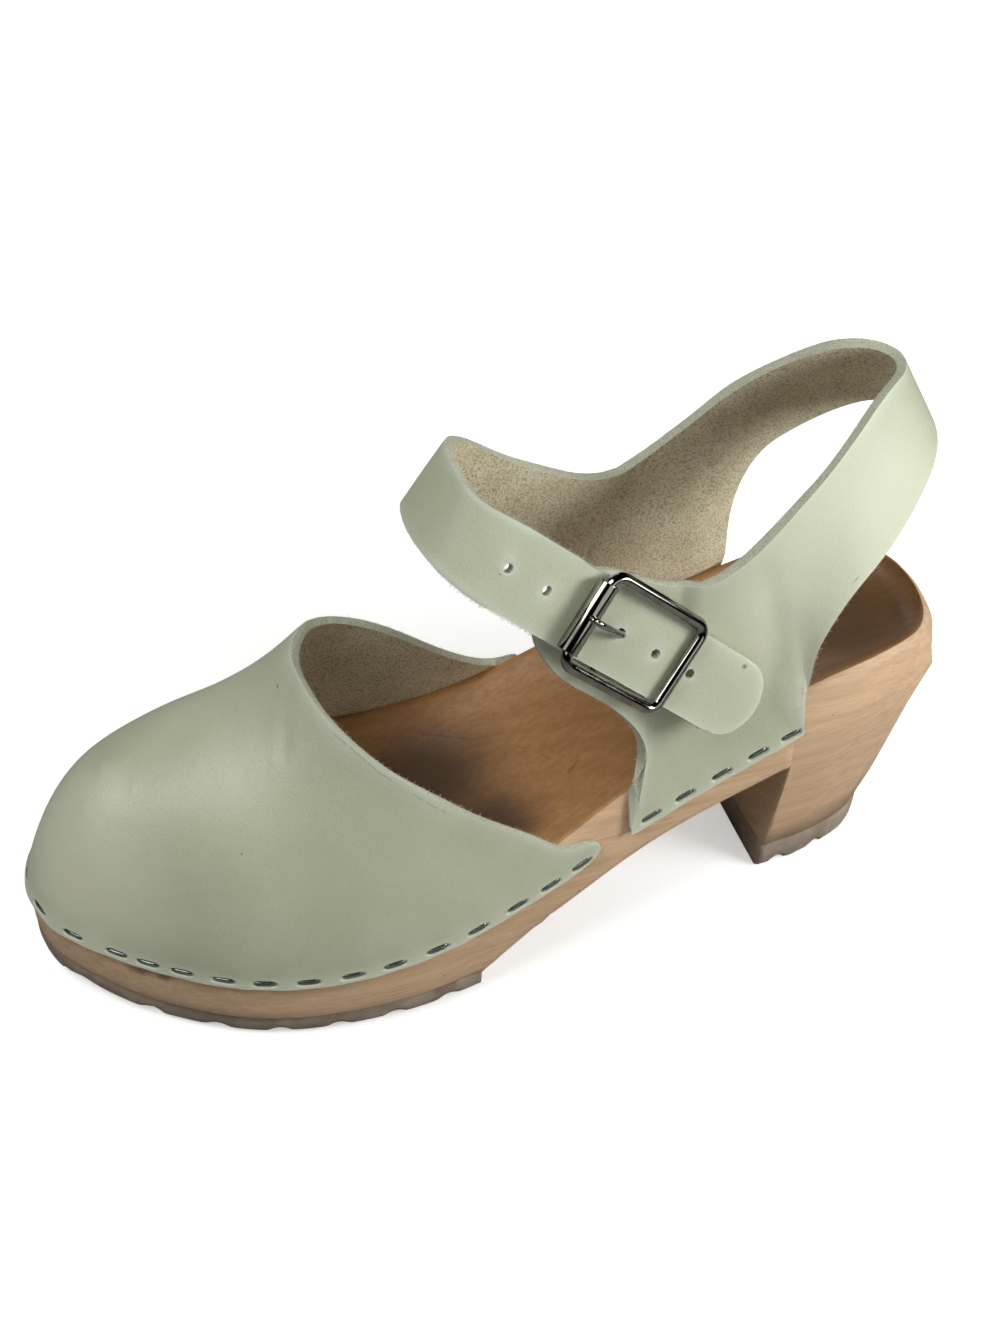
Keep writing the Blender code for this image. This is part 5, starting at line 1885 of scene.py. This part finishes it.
@dataclass
class Studio:
    """Pale floor, soft light and the camera."""

    place: Point = (123.719, 287.809, 414.239)
    azimuth: float = 156.58
    elevation: float = 46.76
    roll: float = 5.46
    lens: float = 47.6
    room: float = 0.004
    backdrop: float = 1.0
    paper: Colour = srgb(248, 248, 246)
    bounce: Colour = srgb(160, 158, 154)

    def floor(self) -> None:
        """Wide flat floor that the camera sees as white paper."""
        work = bmesh.new()
        bmesh.ops.create_grid(work, x_segments=8, y_segments=8, size=4.0)
        mesh = bpy.data.meshes.new("floor")
        work.to_mesh(mesh)
        work.free()
        sketch, shader = new_material("floor_paper")
        seen = sketch.add("ShaderNodeLightPath").outputs["Is Camera Ray"]
        sketch.feed(shader.inputs["Base Color"], sketch.mix(seen, self.bounce, self.paper))
        place = sketch.place()
        far = sketch.add("ShaderNodeVectorMath", {0: place}, operation="LENGTH").outputs["Value"]
        lift = sketch.calc("MULTIPLY", seen, sketch.remap(far, 0.05, 0.3, 0.45, 1.0))
        sketch.feed(shader.inputs["Emission Color"], sketch.mix(lift, (0.0, 0.0, 0.0, 1.0), self.paper))
        shader.inputs["Emission Strength"].default_value = 1.0
        shader.inputs["Roughness"].default_value = 0.9
        shader.inputs["Specular IOR Level"].default_value = 0.1
        new_piece("floor", mesh, bpy.data.materials["floor_paper"])

    @staticmethod
    def lamp(name: str, place: Point, target: Point, size: float, power: float) -> None:
        """Soft square light.

        Args:
            name: Name of the light.
            place: Where it hangs, in metres.
            target: What it faces, in metres.
            size: Length of its sides in metres.
            power: Strength in watts.
        """
        light = bpy.data.lights.new(name, "AREA")
        light.shape = "SQUARE"
        light.size = size
        light.energy = power
        lamp = bpy.data.objects.new(name, light)
        lamp.location = place
        lamp.rotation_euler = (Vector(target) - Vector(place)).to_track_quat("-Z", "Y").to_euler()
        lamp.visible_camera = False
        bpy.context.collection.objects.link(lamp)

    def lights(self) -> None:
        """Soft lights round the shoe and above it, in a dim room with a white backdrop."""
        aim = (-0.01, 0.0, 0.07)
        self.lamp("heel_side", (-0.37, 0.31, 0.32), aim, 0.2, 1.12)
        self.lamp("heel_near", (-0.3, 0.18, 0.25), aim, 0.15, 0.42)
        self.lamp("overhead", (0.35, 0.05, 0.7), aim, 0.4, 2.8)
        self.lamp("front", (-0.15, 0.45, 0.3), aim, 0.3, 0.28)
        self.lamp("toe_side", (0.5, 0.2, 0.45), aim, 0.3, 0.3)
        self.lamp("inner_side", (-0.05, -0.6, 0.3), aim, 0.4, 0.75)
        world = bpy.data.worlds.new("room")
        world.use_nodes = True
        sketch = Sketch(world.node_tree)
        seen = sketch.add("ShaderNodeLightPath").outputs["Is Camera Ray"]
        back = world.node_tree.nodes["Background"]
        sketch.feed(back.inputs["Color"], self.paper)
        sketch.feed(back.inputs["Strength"], sketch.remap(seen, 0.0, 1.0, self.room, self.backdrop))
        bpy.context.scene.world = world

    def camera(self) -> None:
        """Camera at the photograph's angle."""
        turn, rise, roll = (math.radians(value) for value in (self.azimuth, self.elevation, self.roll))
        level = math.cos(rise)
        back = Vector((math.sin(turn) * level, -math.cos(turn) * level, math.sin(rise)))
        right = (-back).cross(Vector((0, 0, 1))).normalized()
        up = right.cross(-back)
        columns = (
            math.cos(roll) * right + math.sin(roll) * up,
            math.cos(roll) * up - math.sin(roll) * right,
            back,
        )
        matrix = Matrix(columns).transposed().to_4x4()
        matrix.translation = Vector(self.place) * MM
        data = bpy.data.cameras.new("camera")
        data.lens = self.lens
        data.clip_start = 0.01
        eye = bpy.data.objects.new("camera", data)
        eye.matrix_world = matrix
        bpy.context.collection.objects.link(eye)
        bpy.context.scene.camera = eye

    def build(self) -> None:
        """Sets the whole studio."""
        self.floor()
        self.lights()
        self.camera()
        bpy.context.scene.view_settings.view_transform = "Standard"


def main() -> None:
    """Builds and dresses every piece of the clog, then the studio."""
    logging.basicConfig(level=logging.INFO, format="%(name)s %(message)s")
    finishes = Finishes()
    staples = Staples()
    seats = staples.seats()
    Sole().build(finishes)
    vamp_seats, strap_seats = seats[: staples.vamp_count], seats[staples.vamp_count :]
    vamp_shell = LeatherShell("vamp", (40.0, -4.0, 45.0), vamp_seats, VAMP_FOLDS, VAMP_CALM)
    strap_shell = StrapShell("back_strap", (-45.0, 0.0, 105.0), strap_seats, STRAP_FOLDS, STRAP_CALM)
    vamp = vamp_shell.build(finishes)
    strap = strap_shell.build(finishes)
    Fuzz("vamp_edge_fuzz").build(vamp, seats, finishes)
    Fuzz("strap_edge_fuzz", seed=9).build(strap, seats, finishes)
    staples.build(seats, finishes)
    Buckle().build(finishes)
    Studio().build()


if __name__ == "__main__":
    main()
